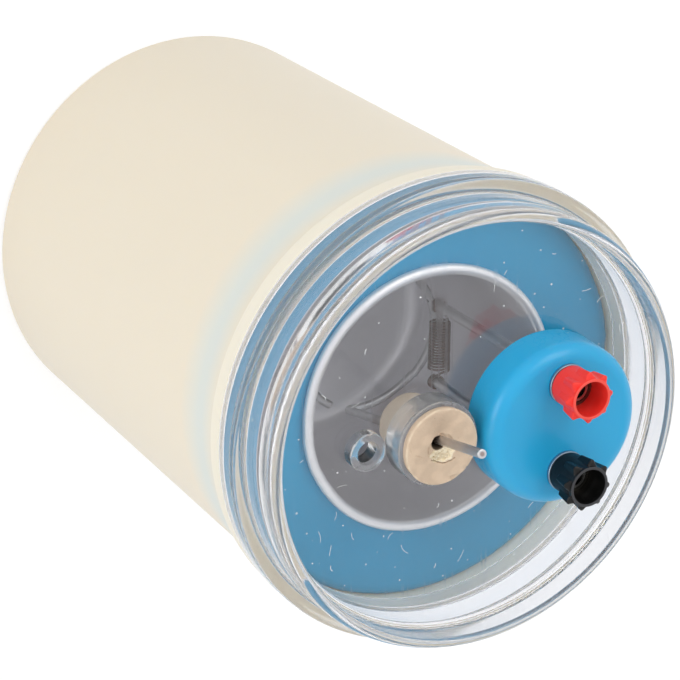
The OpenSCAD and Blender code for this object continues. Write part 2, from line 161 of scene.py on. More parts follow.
def smooth(piece):
    """Shades a piece smooth, but keeps edges sharper than 35 degrees as edges."""
    piece.data.shade_smooth()
    piece.data.set_sharp_from_angle(angle=np.radians(35.0))
    return piece


def settle(piece, body, replaced=()):
    """Hangs a piece on a body, and hides the imported nodes that it stands for."""
    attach(piece, body)
    if replaced:
        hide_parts(*replaced)


def add_piece(name, points, faces, body, replaced=()):
    """Makes an object at the origin from points in millimetres and faces, and hangs it on a body if one is named."""
    mesh = bpy.data.meshes.new(name)
    mesh.from_pydata((np.asarray(points) * MM).tolist(), [], faces)
    mesh.update()
    piece = bpy.data.objects.new(name, mesh)
    bpy.context.scene.collection.objects.link(piece)
    if body:
        settle(piece, body, replaced)
    return smooth(piece)


def dress(piece, *mats):
    """Gives a piece its materials, and says so."""
    piece.data.materials.clear()
    for mat in mats:
        piece.data.materials.append(mat)
    print(f"{piece.name}: {len(piece.data.polygons)} faces in", ", ".join(mat.name for mat in mats))


def ring_faces(rows, cols, closed_rows=False):
    """Four-cornered faces of a grid whose columns close into rings, as an array of point numbers."""
    i = np.arange(rows if closed_rows else rows - 1)[:, None]
    j = np.arange(cols)[None, :]
    near, far = i * cols, (i + 1) % rows * cols
    right = (j + 1) % cols
    return np.stack([near + j, near + right, far + right, far + j], axis=-1).reshape(-1, 4)


def closed_faces(rows, cols):
    """Faces of a grid of rings, with a pole for each end: two points that come after the grid's own points."""
    first, last = np.arange(cols), (rows - 1) * cols + np.arange(cols)
    pole = np.full(cols, rows * cols)
    fans = [[pole, np.roll(first, -1), first], [pole + 1, last, np.roll(last, -1)]]
    return ring_faces(rows, cols).tolist() + np.stack(fans[0], -1).tolist() + np.stack(fans[1], -1).tolist()


def round_corners(corners, steps=8):
    """An outline from corners given as (radius, height) or (radius, height, rounding).

    A rounded corner is an arc that touches both sides: its middle lies on the line that halves the corner, and its
    points are found by turning evenly from the first touching point to the second."""
    pts = np.array([c[:2] for c in corners], float)
    size = np.array([c[2] if len(c) > 2 else 0.0 for c in corners])
    a, b = unit(np.roll(pts, 1, 0) - pts), unit(np.roll(pts, -1, 0) - pts)
    half = np.arccos(np.clip((a * b).sum(1), -0.999999, 0.999999)) / 2
    reach = (size / np.tan(half))[:, None]
    turn = (np.pi - 2 * half)[:, None, None]
    s = np.linspace(0, 1, steps + 1)[None, :, None]
    halfway = (a + b) / np.maximum(np.linalg.norm(a + b, axis=1, keepdims=True), 1e-9)
    mid = pts + halfway * (size / np.sin(half))[:, None]
    start, end = (pts + a * reach - mid)[:, None], (pts + b * reach - mid)[:, None]
    curve = (np.sin((1 - s) * turn) * start + np.sin(s * turn) * end) / np.sin(turn) + mid[:, None]
    line = np.where(size[:, None, None] > 0, curve, pts[:, None]).reshape(-1, 2)
    return line[np.linalg.norm(line - np.roll(line, 1, 0), axis=1) > 1e-5]


def turned(name, outline, body, replaced=(), sides=192, centre=(0.0, 0.0), shape=None):
    """Carries an outline round an upright axis: point = (radius cos angle, radius sin angle, height) + centre.

    The outline runs anticlockwise, with the material on its left. One that starts and ends on the axis gets a pole at
    each end, and any other closes on itself. `shape` may change radius and height for each angle."""
    outline = np.asarray(outline, float)
    poles = outline[0, 0] < 1e-6 and outline[-1, 0] < 1e-6
    rows = outline[1:-1] if poles else outline
    angle = np.arange(sides) * TAU / sides
    r, z = rows[:, :1] + 0 * angle, rows[:, 1:] + 0 * angle
    if shape:
        r, z = shape(r, z, angle[None, :])
    grid = np.stack([r * np.cos(angle) + centre[0], r * np.sin(angle) + centre[1], z], axis=-1).reshape(-1, 3)
    if not poles:
        return add_piece(name, grid, ring_faces(len(rows), sides, True).tolist(), body, replaced)
    grid = np.concatenate([grid, [[*centre, outline[0, 1]], [*centre, outline[-1, 1]]]])
    return add_piece(name, grid, closed_faces(len(rows), sides), body, replaced)


def wire(name, path, radius, outward, body, replaced=(), sides=16):
    """Carries a circle along a path: point = path + radius (cos angle n + sin angle b).

    n is `outward` with its part along the path taken away, and b is square to both. `radius` may be one number or
    one for each point of the path. Both ends are closed with a pole."""
    along = unit(np.gradient(path, axis=0))
    n = unit(outward - (outward * along).sum(1, keepdims=True) * along)
    b = np.cross(along, n)
    angle = np.arange(sides)[None, :, None] * TAU / sides
    size = np.broadcast_to(radius, len(path))[:, None, None]
    grid = (path[:, None] + size * (np.cos(angle) * n[:, None] + np.sin(angle) * b[:, None])).reshape(-1, 3)
    points = np.concatenate([grid, path[:1], path[-1:]])
    return add_piece(name, points, closed_faces(len(path), sides), body, replaced)


def give_values(piece, name, values):
    """Stores one number per point on the mesh, for a material to read by name."""
    layer = piece.data.attributes.new(name, "FLOAT", "POINT")
    layer.data.foreach_set("value", np.asarray(values, np.float32).ravel())


def combine(piece, other, operation):
    """Adds `other` to a piece or cuts it away, with an exact Boolean that is applied at once."""
    step = piece.modifiers.new(operation.lower(), "BOOLEAN")
    step.object, step.operation, step.solver = other, operation, "EXACT"
    bpy.context.view_layer.update()
    result = bpy.data.meshes.new_from_object(piece.evaluated_get(bpy.context.evaluated_depsgraph_get()))
    piece.modifiers.clear()
    piece.data = result
    bpy.data.objects.remove(other)
    smooth(piece)


def drilled(piece, holes):
    """Cuts upright round holes, each given as (x, y, radius below, radius above, low, high)."""
    for x, y, a, b, low, high in holes:
        pin = turned("pin", [(0, low), (a, low), (b, high), (0, high)], None, sides=96, centre=(x, y))
        combine(piece, pin, "DIFFERENCE")


# %% [markdown]
# ## Relief
#
# Old rubber and spun metal aren't perfectly even. A few sine waves in crossing directions, with fixed numbers, make
# a soft unevenness that is the same on every run.

# %% Even unevenness


def ripples(x, y, z, scale, seed, waves=9):
    """A smooth value between about -1 and 1 at each point: the mean of sine waves in scattered directions, each with
    its own phase. `scale` is a typical wave's length in the same unit as the points."""
    draw = np.random.default_rng(seed)
    way = draw.normal(size=(waves, 3))
    way *= (draw.uniform(0.6, 1.6, waves) / np.linalg.norm(way, axis=1))[:, None] * TAU / scale
    phase = draw.uniform(0, TAU, waves)
    total = sum(np.sin(w[0] * x + w[1] * y + w[2] * z + p) for w, p in zip(way, phase))
    return total / np.sqrt(waves) * 0.7


# %% [markdown]
# ## Tools for nodes
#
# Materials and light are trees of nodes. Five short helpers keep them readable: one gives a socket its value, one
# sets a node by the names of its inputs, one adds a node, one works out a sum, and one mixes two shaders. A script
# could spell out every node and link, but then the idea of a finish is lost among them.

# %% Nodes by name
scene = bpy.context.scene
scene.view_settings.view_transform = "Standard"
WHITE = (1, 1, 1, 1)


def feed(tree, value, socket):
    """Gives a socket its value, which is plain or another node's output."""
    if isinstance(value, bpy.types.NodeSocket):
        tree.links.new(value, socket)
    else:
        socket.default_value = value


def set_node(tree, node, **values):
    """Gives each named input its value, or each named property where there is no such input."""
    for key, value in values.items():
        socket = node.inputs.get(key.replace("_", " "))
        if socket is None:
            setattr(node, key, value)
        else:
            feed(tree, value, socket)
    return node


def add_node(tree, kind, **values):
    """Adds a shader node and sets it."""
    return set_node(tree, tree.nodes.new("ShaderNode" + kind), **values)


def calc(tree, operation, *values):
    """A Math node's result."""
    node = add_node(tree, "Math", operation=operation)
    for value, socket in zip(values, node.inputs):
        feed(tree, value, socket)
    return node.outputs[0]


def mix_shaders(tree, share, first, second):
    """Mixes two shader nodes: a share of 0 is all of the first, and 1 is all of the second."""
    mix = add_node(tree, "MixShader", Fac=share)
    tree.links.new(first.outputs[0], mix.inputs[1])
    tree.links.new(second.outputs[0], mix.inputs[2])
    return mix.outputs[0]


# %% [markdown]
# ## Light
#
# A white world lights the object evenly from all round, as in a light tent, and two large soft lamps give the forms
# some direction. What the camera, a mirror-like surface or clear plastic sees of the world is plain white, chosen by
# the kind of ray, so that the background is white without more light falling on the object. A picture of a studio
# could light it too, but plain nodes need no file and keep every reflection simple.

# %% World


def seen_directly(tree):
    """A value that is 1 for rays that show the background itself: camera, glossy and transmission rays."""
    rays = add_node(tree, "LightPath").outputs
    either = calc(tree, "MAXIMUM", rays["Is Camera Ray"], rays["Is Glossy Ray"])
    return calc(tree, "MAXIMUM", either, rays["Is Transmission Ray"])


world = bpy.data.worlds.new("studio")
scene.world = world
world.use_nodes = True
tree = world.node_tree
tree.nodes.clear()
tent = add_node(tree, "Background", Color=(0.95, 0.97, 1.0, 1), Strength=0.80)
white_view = add_node(tree, "Background", Color=WHITE, Strength=1.0)
add_node(tree, "OutputWorld", Surface=mix_shaders(tree, seen_directly(tree), tent, white_view))

# %% Lamps


def soft_lamp(name, way, size, power, colour):
    """A large square lamp that faces the object's middle, in metres and watts.

    `way` leads to it on the picture, right, up and towards the camera, in steps of 0.9 m."""
    aim = np.array([0.0, 0.0, 0.1])
    spot = aim + 0.9 * (place[:3, :3] @ np.array(way))
    lamp = bpy.data.objects.new(name, bpy.data.lights.new(name, "AREA"))
    scene.collection.objects.link(lamp)
    lamp.data.shape, lamp.data.size = "SQUARE", size
    lamp.data.energy, lamp.data.color = power, colour
    z = unit(spot - aim)
    x = unit(np.cross([0.0, 0.0, 1.0], z))
    turn = np.eye(4)
    turn[:3, :3] = np.stack([x, np.cross(z, x), z], axis=1)
    turn[:3, 3] = spot
    lamp.matrix_world = Matrix(turn.tolist())
    lamp.visible_transmission = False


soft_lamp("key", (0.70, 0.55, 0.80), 0.6, 2.9, (1.0, 0.985, 0.96))
soft_lamp("fill", (-0.95, -0.10, 0.65), 0.8, 4.6, (0.98, 0.985, 1.0))

# %% Floor
# It lies a hair below the jar's foot, so that the two surfaces never fall together
FLOOR_HALF, GROUND_Z = 3.0, -0.0002
floor_mesh = bpy.data.meshes.new("floor")
corners = [(a * FLOOR_HALF, b * FLOOR_HALF, GROUND_Z) for a, b in ((-1, -1), (1, -1), (1, 1), (-1, 1))]
floor_mesh.from_pydata(corners, [], [(0, 1, 2, 3)])
floor = bpy.data.objects.new("floor", floor_mesh)
scene.collection.objects.link(floor)
paper = bpy.data.materials.new("white_paper")
paper.use_nodes = True
tree = paper.node_tree
tree.nodes.clear()
plain = add_node(tree, "BsdfDiffuse", Color=(0.82, 0.82, 0.82, 1))
shaded = add_node(tree, "BsdfDiffuse", Color=(0.5, 0.5, 0.5, 1))
glow = add_node(tree, "Emission", Color=WHITE, Strength=0.62)
both = add_node(tree, "AddShader")
feed(tree, shaded.outputs[0], both.inputs[0])
feed(tree, glow.outputs[0], both.inputs[1])
add_node(tree, "OutputMaterial", Surface=mix_shaders(tree, seen_directly(tree), plain, both))
dress(floor, paper)

# %% [markdown]
# ## Shared finishes
#
# Several finishes share an effect: a cloudy change of tone, fine hairline scratches, and small specks. Each effect is
# a group of nodes with named inputs, built once and placed in each material with its own values. The patterns are
# computed from each point's place on the object, not painted on a picture, so they have no seams and stay sharp.

# %% Small parts of a material


def object_place(tree):
    """Object coordinates, which stay with the piece as it moves."""
    return add_node(tree, "TexCoord").outputs["Object"]


def mix_colour(tree, mask, under, over):
    """Mixes two colours by a mask."""
    mix = add_node(tree, "Mix", data_type="RGBA")
    for value, number in ((mask, 0), (under, 6), (over, 7)):
        feed(tree, value, mix.inputs[number])
    return mix.outputs[2]


def between(tree, value, low, high, out_low=0.0, out_high=1.0):
    """A value carried in a straight line from the range low to high onto another range, and held at its ends."""
    node = add_node(tree, "MapRange", Value=value, From_Min=low, From_Max=high, To_Min=out_low, To_Max=out_high)
    return node.outputs[0]


def by_height(tree, low, high, at_low=0.0, at_high=1.0):
    """A value that changes evenly between two heights above the table, in millimetres, and holds beyond them."""
    z = add_node(tree, "SeparateXYZ", Vector=object_place(tree)).outputs["Z"]
    return between(tree, z, low * MM, high * MM, at_low, at_high)


def bump(tree, shader, height, strength, distance):
    """Feeds a height to the shader's normal through a Bump node."""
    node = add_node(tree, "Bump", Height=height, Strength=strength, Distance=distance)
    set_node(tree, shader, Normal=node.outputs[0])


def stored(tree, name):
    """The numbers that a mesh keeps for its points under a name."""
    return add_node(tree, "Attribute", attribute_name=name).outputs["Fac"]


def finish(name, **values):
    """A material with one Principled shader, whose sockets take the given values."""
    mat = bpy.data.materials.new(name)
    mat.use_nodes = True
    tree = mat.node_tree
    return mat, tree, set_node(tree, tree.nodes["Principled BSDF"], **values)


# %% Effects as node groups
FLOAT, COLOUR = "NodeSocketFloat", "NodeSocketColor"


def new_group(name, outputs, **inputs):
    """An empty shader group, as the group, what it is given and its end. An input's kind follows its plain value."""
    group = bpy.data.node_groups.new(name, "ShaderNodeTree")
    for title, value in inputs.items():
        kind = COLOUR if isinstance(value, tuple) else FLOAT
        group.interface.new_socket(title, in_out="INPUT", socket_type=kind).default_value = value
    for title, kind in outputs.items():
        group.interface.new_socket(title, in_out="OUTPUT", socket_type=kind)
    return group, group.nodes.new("NodeGroupInput").outputs, group.nodes.new("NodeGroupOutput")


def cloudy_group():
    """Two tones mixed by a soft noise times Amount; the noise also comes out as a value from 0 to 1."""
    g, given, end = new_group("cloudy_tone", {"Color": COLOUR, "Noise": FLOAT},
                              Base=WHITE, Stain=(0.5, 0.5, 0.5, 1), Amount=0.1, Scale=100.0)
    noise = add_node(g, "TexNoise", Vector=object_place(g), Scale=given["Scale"], Detail=5.0, Roughness=0.6)
    noise = noise.outputs["Fac"]
    mixed = mix_colour(g, calc(g, "MULTIPLY", noise, given["Amount"]), given["Base"], given["Stain"])
    set_node(g, end, Color=mixed, Noise=noise)
    return g


def scratch_group():
    """Hairlines: a noise stretched fiftyfold along one direction, of which only a thin slice of values counts.

    Three such sets cross at an angle, and the brightest one is kept."""
    g, given, end = new_group("hairlines", {"Mask": FLOAT}, Scale=60.0, Width=0.02)
    lines = []
    for turn in (0.5, 1.9, 2.7):
        drawn_out = add_node(g, "Mapping", Vector=object_place(g), Rotation=(0.3, 0.2, turn), Scale=(1.0, 0.02, 1.0))
        noise = add_node(g, "TexNoise", Vector=drawn_out.outputs[0], Scale=given["Scale"], Detail=2.0)
        off = calc(g, "ABSOLUTE", calc(g, "SUBTRACT", noise.outputs["Fac"], 0.52))
        lines.append(calc(g, "LESS_THAN", off, given["Width"]))
    set_node(g, end, Mask=calc(g, "MAXIMUM", calc(g, "MAXIMUM", *lines[:2]), lines[2]))
    return g


def speck_group():
    """Specks: cells of a Voronoi pattern whose middle is nearer than Size, kept only in a random share of cells."""
    g, given, end = new_group("specks", {"Mask": FLOAT}, Scale=300.0, Size=0.1, Share=0.2)
    cells = add_node(g, "TexVoronoi", Vector=object_place(g), Scale=given["Scale"]).outputs
    chance = add_node(g, "SeparateColor", Color=cells["Color"]).outputs[0]
    near, few = calc(g, "LESS_THAN", cells["Distance"], given["Size"]), calc(g, "LESS_THAN", chance, given["Share"])
    set_node(g, end, Mask=calc(g, "MULTIPLY", near, few))
    return g


def axis_group():
    """Distance from the object's upright axis in metres: the length of Object coordinates with z left out."""
    g, _, end = new_group("from_axis", {"Distance": FLOAT})
    flat = add_node(g, "VectorMath", operation="MULTIPLY")
    feed(g, object_place(g), flat.inputs[0])
    feed(g, (1.0, 1.0, 0.0), flat.inputs[1])
    size = add_node(g, "VectorMath", operation="LENGTH", Vector=flat.outputs[0])
    set_node(g, end, Distance=size.outputs["Value"])
    return g


CLOUDY, HAIRLINES, SPECKS, FROM_AXIS = cloudy_group(), scratch_group(), speck_group(), axis_group()


def place_group(tree, group, **values):
    """Puts a group in a material, sets its named inputs and gives its outputs."""
    return add_node(tree, "Group", node_tree=group, **values).outputs


def cloudy(tree, base, stain, amount, scale):
    """A cloudy tone: its colour, and the noise behind it."""
    made = place_group(tree, CLOUDY, Base=base, Stain=stain, Amount=amount, Scale=scale)
    return made["Color"], made["Noise"]


def grain(tree, scale):
    """Fine even noise, for a bump or a polish."""
    return place_group(tree, CLOUDY, Amount=1.0, Scale=scale)["Noise"]


def specked(tree, under, over, scale, size, share):
    """A colour with specks of another."""
    return mix_colour(tree, place_group(tree, SPECKS, Scale=scale, Size=size, Share=share)[0], under, over)


def scratched(tree, scale, width, low, high):
    """A roughness that is `high` in fine hairlines and `low` elsewhere."""
    return between(tree, place_group(tree, HAIRLINES, Scale=scale, Width=width)[0], 0, 1, low, high)


def uneven(tree, noise, low, high):
    """A roughness that changes with a noise."""
    return between(tree, noise, 0.3, 0.7, low, high)


def dimmed(colour, share):
    """A colour made darker."""
    return tuple(share * c for c in colour[:3]) + (1,)


# %% [markdown]
# ## The jar
#
# The jar is blow-moulded in cream plastic that lets a little light in, so a blue haze shows in its wall where the
# collar sits behind it. A little subsurface scattering softens its shading. Letting real light carry the collar's
# blue through the wall would be slow and grainy, so the haze is painted by height. The lip, and even more the inside
# of the mouth, are painted paler than the wall: painted light, for the light that the thin plastic lets in under the
# lid.

# %% Jar
LIP_R, NECK_R, FOOT_R, JAR_WALL, FLOOR_Z = 49.6, 47.6, 45.0, 2.2, 2.4
FLARE_LOW, FLARE_HIGH = 111.0, 114.5
t = np.linspace(0, 1, 13)
flare = np.column_stack([
    NECK_R + (LIP_R - NECK_R) * (1 - np.cos(np.pi * t)) / 2, FLARE_LOW + (FLARE_HIGH - FLARE_LOW) * t])


def jar_radius(z):
    """Outside radius of the jar's straight taper at height z."""
    return FOOT_R + (NECK_R - FOOT_R) * z / FLARE_LOW


# Corners that only guide the outline's first or last run are cut off again
inner_low, inner_high = jar_radius(FLOOR_Z) - JAR_WALL, jar_radius(COLLAR_LOW) - JAR_WALL
foot = round_corners([
    (0, 0.9), (38.1, 0.9), (39.0, 0.0, 0.3), (FOOT_R, 0.0, 1.8), (jar_radius(20.0), 20.0), (20, 20)])[:-2]
mouth = round_corners([
    (30, 100), (LIP_R, 114.4), (LIP_R, JAR_TOP, 0.9), (MOUTH_R, JAR_TOP, 0.45), (MOUTH_R, COLLAR_LOW),
    (inner_high, COLLAR_LOW), (inner_low, FLOOR_Z, 3.0), (0, FLOOR_Z)])[2:]
wall = np.linspace(20.0, 108.0, 12)[1:]
jar_outline = np.concatenate([foot, np.column_stack([jar_radius(wall), wall]), flare, mouth])
jar = turned("jar_body", jar_outline, "jar", ["outer_jar"], sides=256)

cream, tree, shader = finish("cream_plastic", Roughness=0.42, IOR=1.49, Subsurface_Weight=0.35,
                             Subsurface_Scale=0.004, Subsurface_Radius=(1.0, 0.85, 0.6))
tone, _ = cloudy(tree, (0.80, 0.71, 0.565, 1), (0.77, 0.675, 0.52, 1), 0.25, 22.0)
rise, fall = by_height(tree, COLLAR_LOW - 8, COLLAR_LOW), by_height(tree, 106, COLLAR_TOP - 0.5, 1, 0)
band = calc(tree, "MULTIPLY", rise, fall)
tone = mix_colour(tree, between(tree, band, 0.0, 1.0, 0.0, 0.38), tone, (0.50, 0.70, 0.76, 1))
# Painted light: from 112.5 mm up, the lip is painted paler
tone = mix_colour(tree, by_height(tree, 112.5, 114), tone, (0.81, 0.75, 0.62, 1))
# Painted light: the inside of the mouth, above the foot of the collar, is painted paler still
inner = between(tree, place_group(tree, FROM_AXIS)[0], MOUTH_R * MM + 0.0002, MOUTH_R * MM + 0.0010, 1.0, 0.0)
mouth_painted_light = calc(tree, "MULTIPLY", inner, by_height(tree, COLLAR_LOW - 0.5, COLLAR_LOW + 1))
tone = mix_colour(tree, mouth_painted_light, tone, (0.99, 0.94, 0.82, 1))
set_node(tree, shader, Base_Color=specked(tree, tone, (0.25, 0.2, 0.15, 1), 55.0, 0.022, 0.12))
bump(tree, shader, grain(tree, 900.0), 0.12, 0.0002)
dress(jar, cream)

# %% [markdown]
# ## The collar and the cup
#
# The collar is a thin blue moulding with a skirt inside and outside. The cup is spun from one aluminium sheet, and
# its rim is rolled over into a bead. A Screw modifier could turn both outlines, but the turning tool above closes
# its seams and can bend the sheet a little. Spinning leaves fine rings, so the metal's roughness changes in thin
# bands that run round the cup, one above the other.

# %% Collar
SKIRT = 1.8
collar_out, collar_in = MOUTH_R - 0.1, CUP_R + CUP_SHEET + 0.35
collar_outline = round_corners([
    (collar_out - SKIRT, COLLAR_LOW), (collar_out, COLLAR_LOW, 0.2), (collar_out, COLLAR_TOP, 3.0),
    (collar_in, COLLAR_TOP, 0.2), (collar_in, COLLAR_LOW, 0.2), (collar_in + SKIRT, COLLAR_LOW, 0.2),
    (collar_in + SKIRT, COLLAR_TOP - SKIRT, 0.3), (collar_out - SKIRT, COLLAR_TOP - SKIRT, 1.2)])
collar = turned("cup_collar_blue", collar_outline, "jar", ["cup_collar"], sides=256)
blue_sheet, tree, shader = finish("collar_blue", IOR=1.49, Specular_IOR_Level=0.2)
tone, _ = cloudy(tree, (0.003, 0.255, 0.49, 1), (0.035, 0.37, 0.61, 1), 0.8, 30.0)
set_node(tree, shader, Base_Color=specked(tree, tone, (0.6, 0.7, 0.75, 1), 420.0, 0.11, 0.05),
         Roughness=scratched(tree, 90.0, 0.006, 0.36, 0.6))
dress(collar, blue_sheet)

# %% Cup
CORNER = 4.5
bead_x = CUP_R + BEAD_R
curl = np.radians(np.linspace(180, -100, 22))
curl_out = arc(bead_x, BEAD_Z, BEAD_R, curl)
curl_in = arc(bead_x, BEAD_Z, BEAD_R - CUP_SHEET, curl[::-1])
low = np.radians(np.linspace(-90, 0, 12))
bend_in = arc(CUP_R - CORNER, CUP_FLOOR + CORNER, CORNER, low)
bend_out = arc(CUP_R - CORNER, CUP_FLOOR + CORNER, CORNER + CUP_SHEET, low)
straight = np.linspace(0, 1, 12)[1:-1, None]
wall_in = bend_in[-1] + straight * (curl_out[0] - bend_in[-1])
wall_out = bend_out[-1] + straight * (curl_in[-1] - bend_out[-1])
disc, under = run(8, (0, 21), CUP_FLOOR), run(8, (0, 21), CUP_FLOOR - CUP_SHEET)
# Anticlockwise: along the underside, up the outer wall, over the bead and down the inner wall to the floor
cup_outline = np.concatenate([
    under, bend_out, wall_out, curl_in[::-1], curl_out[::-1], wall_in[::-1], bend_in[::-1], disc[::-1]])


def spun(r, z, angle):
    """Spinning leaves the sheet a hair uneven: the radius changes by a few hundredths of a millimetre."""
    wave = ripples(r * np.cos(angle), r * np.sin(angle), z, 24.0, 5)
    return r + 0.02 * wave * (r > 5), z


cup = turned("cup_spun", cup_outline, "jar", ["inner_cup"], sides=256, shape=spun)
alu, tree, shader = finish("spun_aluminium", Metallic=0.75)
tone, _ = cloudy(tree, (0.86, 0.85, 0.875, 1), (0.77, 0.76, 0.785, 1), 0.6, 60.0)
at_rim = by_height(tree, COLLAR_TOP - 1.5, COLLAR_TOP + 0.5)
squeeze = add_node(tree, "Mapping", Vector=object_place(tree), Scale=(0.02, 0.02, 1.0))
rings = add_node(tree, "TexNoise", Vector=squeeze.outputs[0], Scale=2500.0, Detail=3.0).outputs["Fac"]
set_node(tree, shader, Base_Color=mix_colour(tree, at_rim, tone, (0.86, 0.86, 0.88, 1)),
         Roughness=uneven(tree, rings, 0.40, 0.52))
bump(tree, shader, rings, 0.10, 0.0001)
dress(cup, alu)

# %% [markdown]
# ## The lid
#
# The lid is one clear moulding: a flange on the jar's lip, a drum with a rounded rim, a flat window below the rim,
# and two short tubes that stand on the window. Its turned shell and the tubes are joined with Booleans, and then
# the holes are drilled, so it is one closed body of clear plastic and light bends through it properly. Tubes that
# only overlapped the window would show their hidden walls inside the plastic.

# %% Lid
DRUM_R, DRUM_WALL, RIM_T, RIM_Z = 47.0, 2.1, 2.6, WINDOW_Z + 5.6
FLANGE_R, FLANGE_TOP = 50.0, JAR_TOP + 6.0
SPIGOT_R, SPIGOT_LOW = MOUTH_R - 0.3, 114.5
RIM_IN = DRUM_R - RIM_T
lid_outline = round_corners([
    (0, UNDER_Z), (DRUM_R - DRUM_WALL, UNDER_Z, 1.5), (DRUM_R - DRUM_WALL, SPIGOT_LOW, 0.25),
    (SPIGOT_R, SPIGOT_LOW, 0.7), (SPIGOT_R, JAR_TOP, 0.12), (FLANGE_R, JAR_TOP, 0.7), (FLANGE_R, FLANGE_TOP, 1.3),
    (DRUM_R, FLANGE_TOP, 0.8), (DRUM_R, RIM_Z, 2.2), (RIM_IN, RIM_Z, 1.0), (RIM_IN, WINDOW_Z, 0.8), (0, WINDOW_Z)])
lid = turned("lid_clear", lid_outline, None, sides=256)


def bung_radius(z):
    """Radius of the bung's taper at height z."""
    return BUNG_LOW_R + 2.0 * (z - BUNG_END) / BUNG_H


def tube_on_window(x, r, h, bore_low, bore_high):
    """A short tube that starts inside the window's thickness, so that the two join. Its bore may be tapered."""
    low = WINDOW_Z - WINDOW_T / 2
    outline = round_corners([
        (bore_low - 0.2, low), (r, low), (r, WINDOW_Z + h, 0.5), (bore_high - 0.2, WINDOW_Z + h)])
    return turned("tube", outline, None, sides=160, centre=(x, 0.0))


SOCKET_R, SOCKET_H = 9.05, 5.4
PORT_R, PORT_H, PORT_BORE = 4.1, 2.6, 2.5
STUD_HOLE = STUD_R + 0.1
LOW, HIGH = UNDER_Z - 1, WINDOW_Z + 7
socket_bore = bung_radius(UNDER_Z), bung_radius(WINDOW_Z + SOCKET_H)
combine(lid, tube_on_window(BUNG_X, SOCKET_R, SOCKET_H, *socket_bore), "UNION")
combine(lid, tube_on_window(PORT_X, PORT_R, PORT_H, PORT_BORE, PORT_BORE), "UNION")
holes = [(BUNG_X, 0.0, bung_radius(LOW) + 0.05, bung_radius(HIGH) + 0.05), (PORT_X, 0.0, PORT_BORE, PORT_BORE)]
holes += [(HEAD_X, y, STUD_HOLE, STUD_HOLE) for y in (POST_Y, -POST_Y)]
drilled(lid, [(*hole, LOW, HIGH) for hole in holes])
settle(lid, "lid", ["lid"])

# %% Clear plastic


def clear_plastic(name, tint, roughness, spread, scratch, wave, clear=1.0):
    """Clear plastic that bends light, and lets lamp light through to what is behind it. `clear` below 1 is milky."""
    mat, tree, shader = finish(name, Base_Color=tint, IOR=1.49, Transmission_Weight=clear)
    lines = place_group(tree, HAIRLINES, Scale=70.0, Width=scratch)[0]
    noise = grain(tree, 60.0)
    base = between(tree, noise, 0.35, 0.75, roughness, roughness + spread)
    set_node(tree, shader, Roughness=calc(tree, "MULTIPLY_ADD", lines, 0.15, base))
    bump(tree, shader, noise, wave, 0.001)
    through = add_node(tree, "BsdfTransparent", Color=(0.98, 0.985, 0.99, 1))
    in_shadow = add_node(tree, "LightPath").outputs["Is Shadow Ray"]
    set_node(tree, tree.nodes["Material Output"], Surface=mix_shaders(tree, in_shadow, shader, through))
    return mat


def face_middles(piece):
    """The middle point and the outward direction of each face, in millimetres, as two arrays."""
    count = len(piece.data.polygons)
    middle, normal = np.empty(count * 3), np.empty(count * 3)
    piece.data.polygons.foreach_get("center", middle)
    piece.data.polygons.foreach_get("normal", normal)
    return middle.reshape(-1, 3) / MM, normal.reshape(-1, 3)


# The window is polished, the walls are a little milky, and the tubes' ends were cut and are slightly frosted
dress(lid, clear_plastic("clear_window", (0.975, 0.98, 0.99, 1), 0.010, 0.02, 0.0025, 0.012),
      clear_plastic("clear_wall", (0.938, 0.94, 0.962, 1), 0.07, 0.02, 0.0, 0.0, 0.935),
      clear_plastic("clear_tube", (0.95, 0.955, 0.965, 1), 0.14, 0.02, 0.0, 0.0, 0.96),
      clear_plastic("cut_edge", (0.96, 0.965, 0.975, 1), 0.22, 0.1, 0.0, 0.0, 0.9))
WINDOW, WALL, TUBE, CUT = range(4)
middle, normal = face_middles(lid)
x, y, z = middle.T
on_tube = (np.hypot(x - BUNG_X, y) < SOCKET_R + 0.1) | (np.hypot(x - PORT_X, y) < PORT_R + 0.1)
kind = np.where(np.hypot(x, y) > RIM_IN - 0.15, WALL, WINDOW)
kind = np.where(on_tube & (z > WINDOW_Z + 0.02), TUBE, kind)
kind = np.where((kind == TUBE) & (normal[:, 2] > 0.3), CUT, kind)
lid.data.polygons.foreach_set("material_index", kind.astype(np.int32))

# %% [markdown]
# ## The terminal head
#
# The head is a glossy blue moulding with a broad soft shoulder. Two holes let the studs through. A cylinder with a
# Bevel would come close, but the turned outline gives the shoulder its own rounding and leaves the foot crisp.

# %% Terminal head
HEAD_R = 17.2
SHOULDER = 3.2
head_outline = round_corners([
    (0, WINDOW_Z), (HEAD_R, WINDOW_Z, 0.35), (HEAD_R, HEAD_TOP, SHOULDER), (0, HEAD_TOP)], steps=14)
head = turned("head_blue", head_outline, None, centre=(HEAD_X, 0.0))
drilled(head, [(HEAD_X, y, STUD_HOLE, STUD_HOLE, WINDOW_Z - 1, HEAD_TOP + 1) for y in (POST_Y, -POST_Y)])
settle(head, "lid", ["terminal_head"])
sky, tree, shader = finish("head_sky_blue", IOR=1.46, Subsurface_Weight=0.25, Subsurface_Scale=0.003)
tone, _ = cloudy(tree, (0.018, 0.40, 0.71, 1), (0.035, 0.46, 0.78, 1), 0.4, 45.0)
set_node(tree, shader, Base_Color=specked(tree, tone, (0.45, 0.7, 0.85, 1), 500.0, 0.10, 0.04),
         Roughness=scratched(tree, 120.0, 0.005, 0.28, 0.5))
bump(tree, shader, grain(tree, 500.0), 0.05, 0.0002)
dress(head, sky)

# %% [markdown]
# ## The terminals
#
# Each terminal is a threaded, nickel-plated stud with a socket in its top, held by a nut and a split washer under
# the window. The thread is a ridge that depends on the angle and the height together, so it winds round the stud.
# A separate helix laid over a rod would be simpler to think of, but would leave two surfaces cutting each other.

# %% Metals


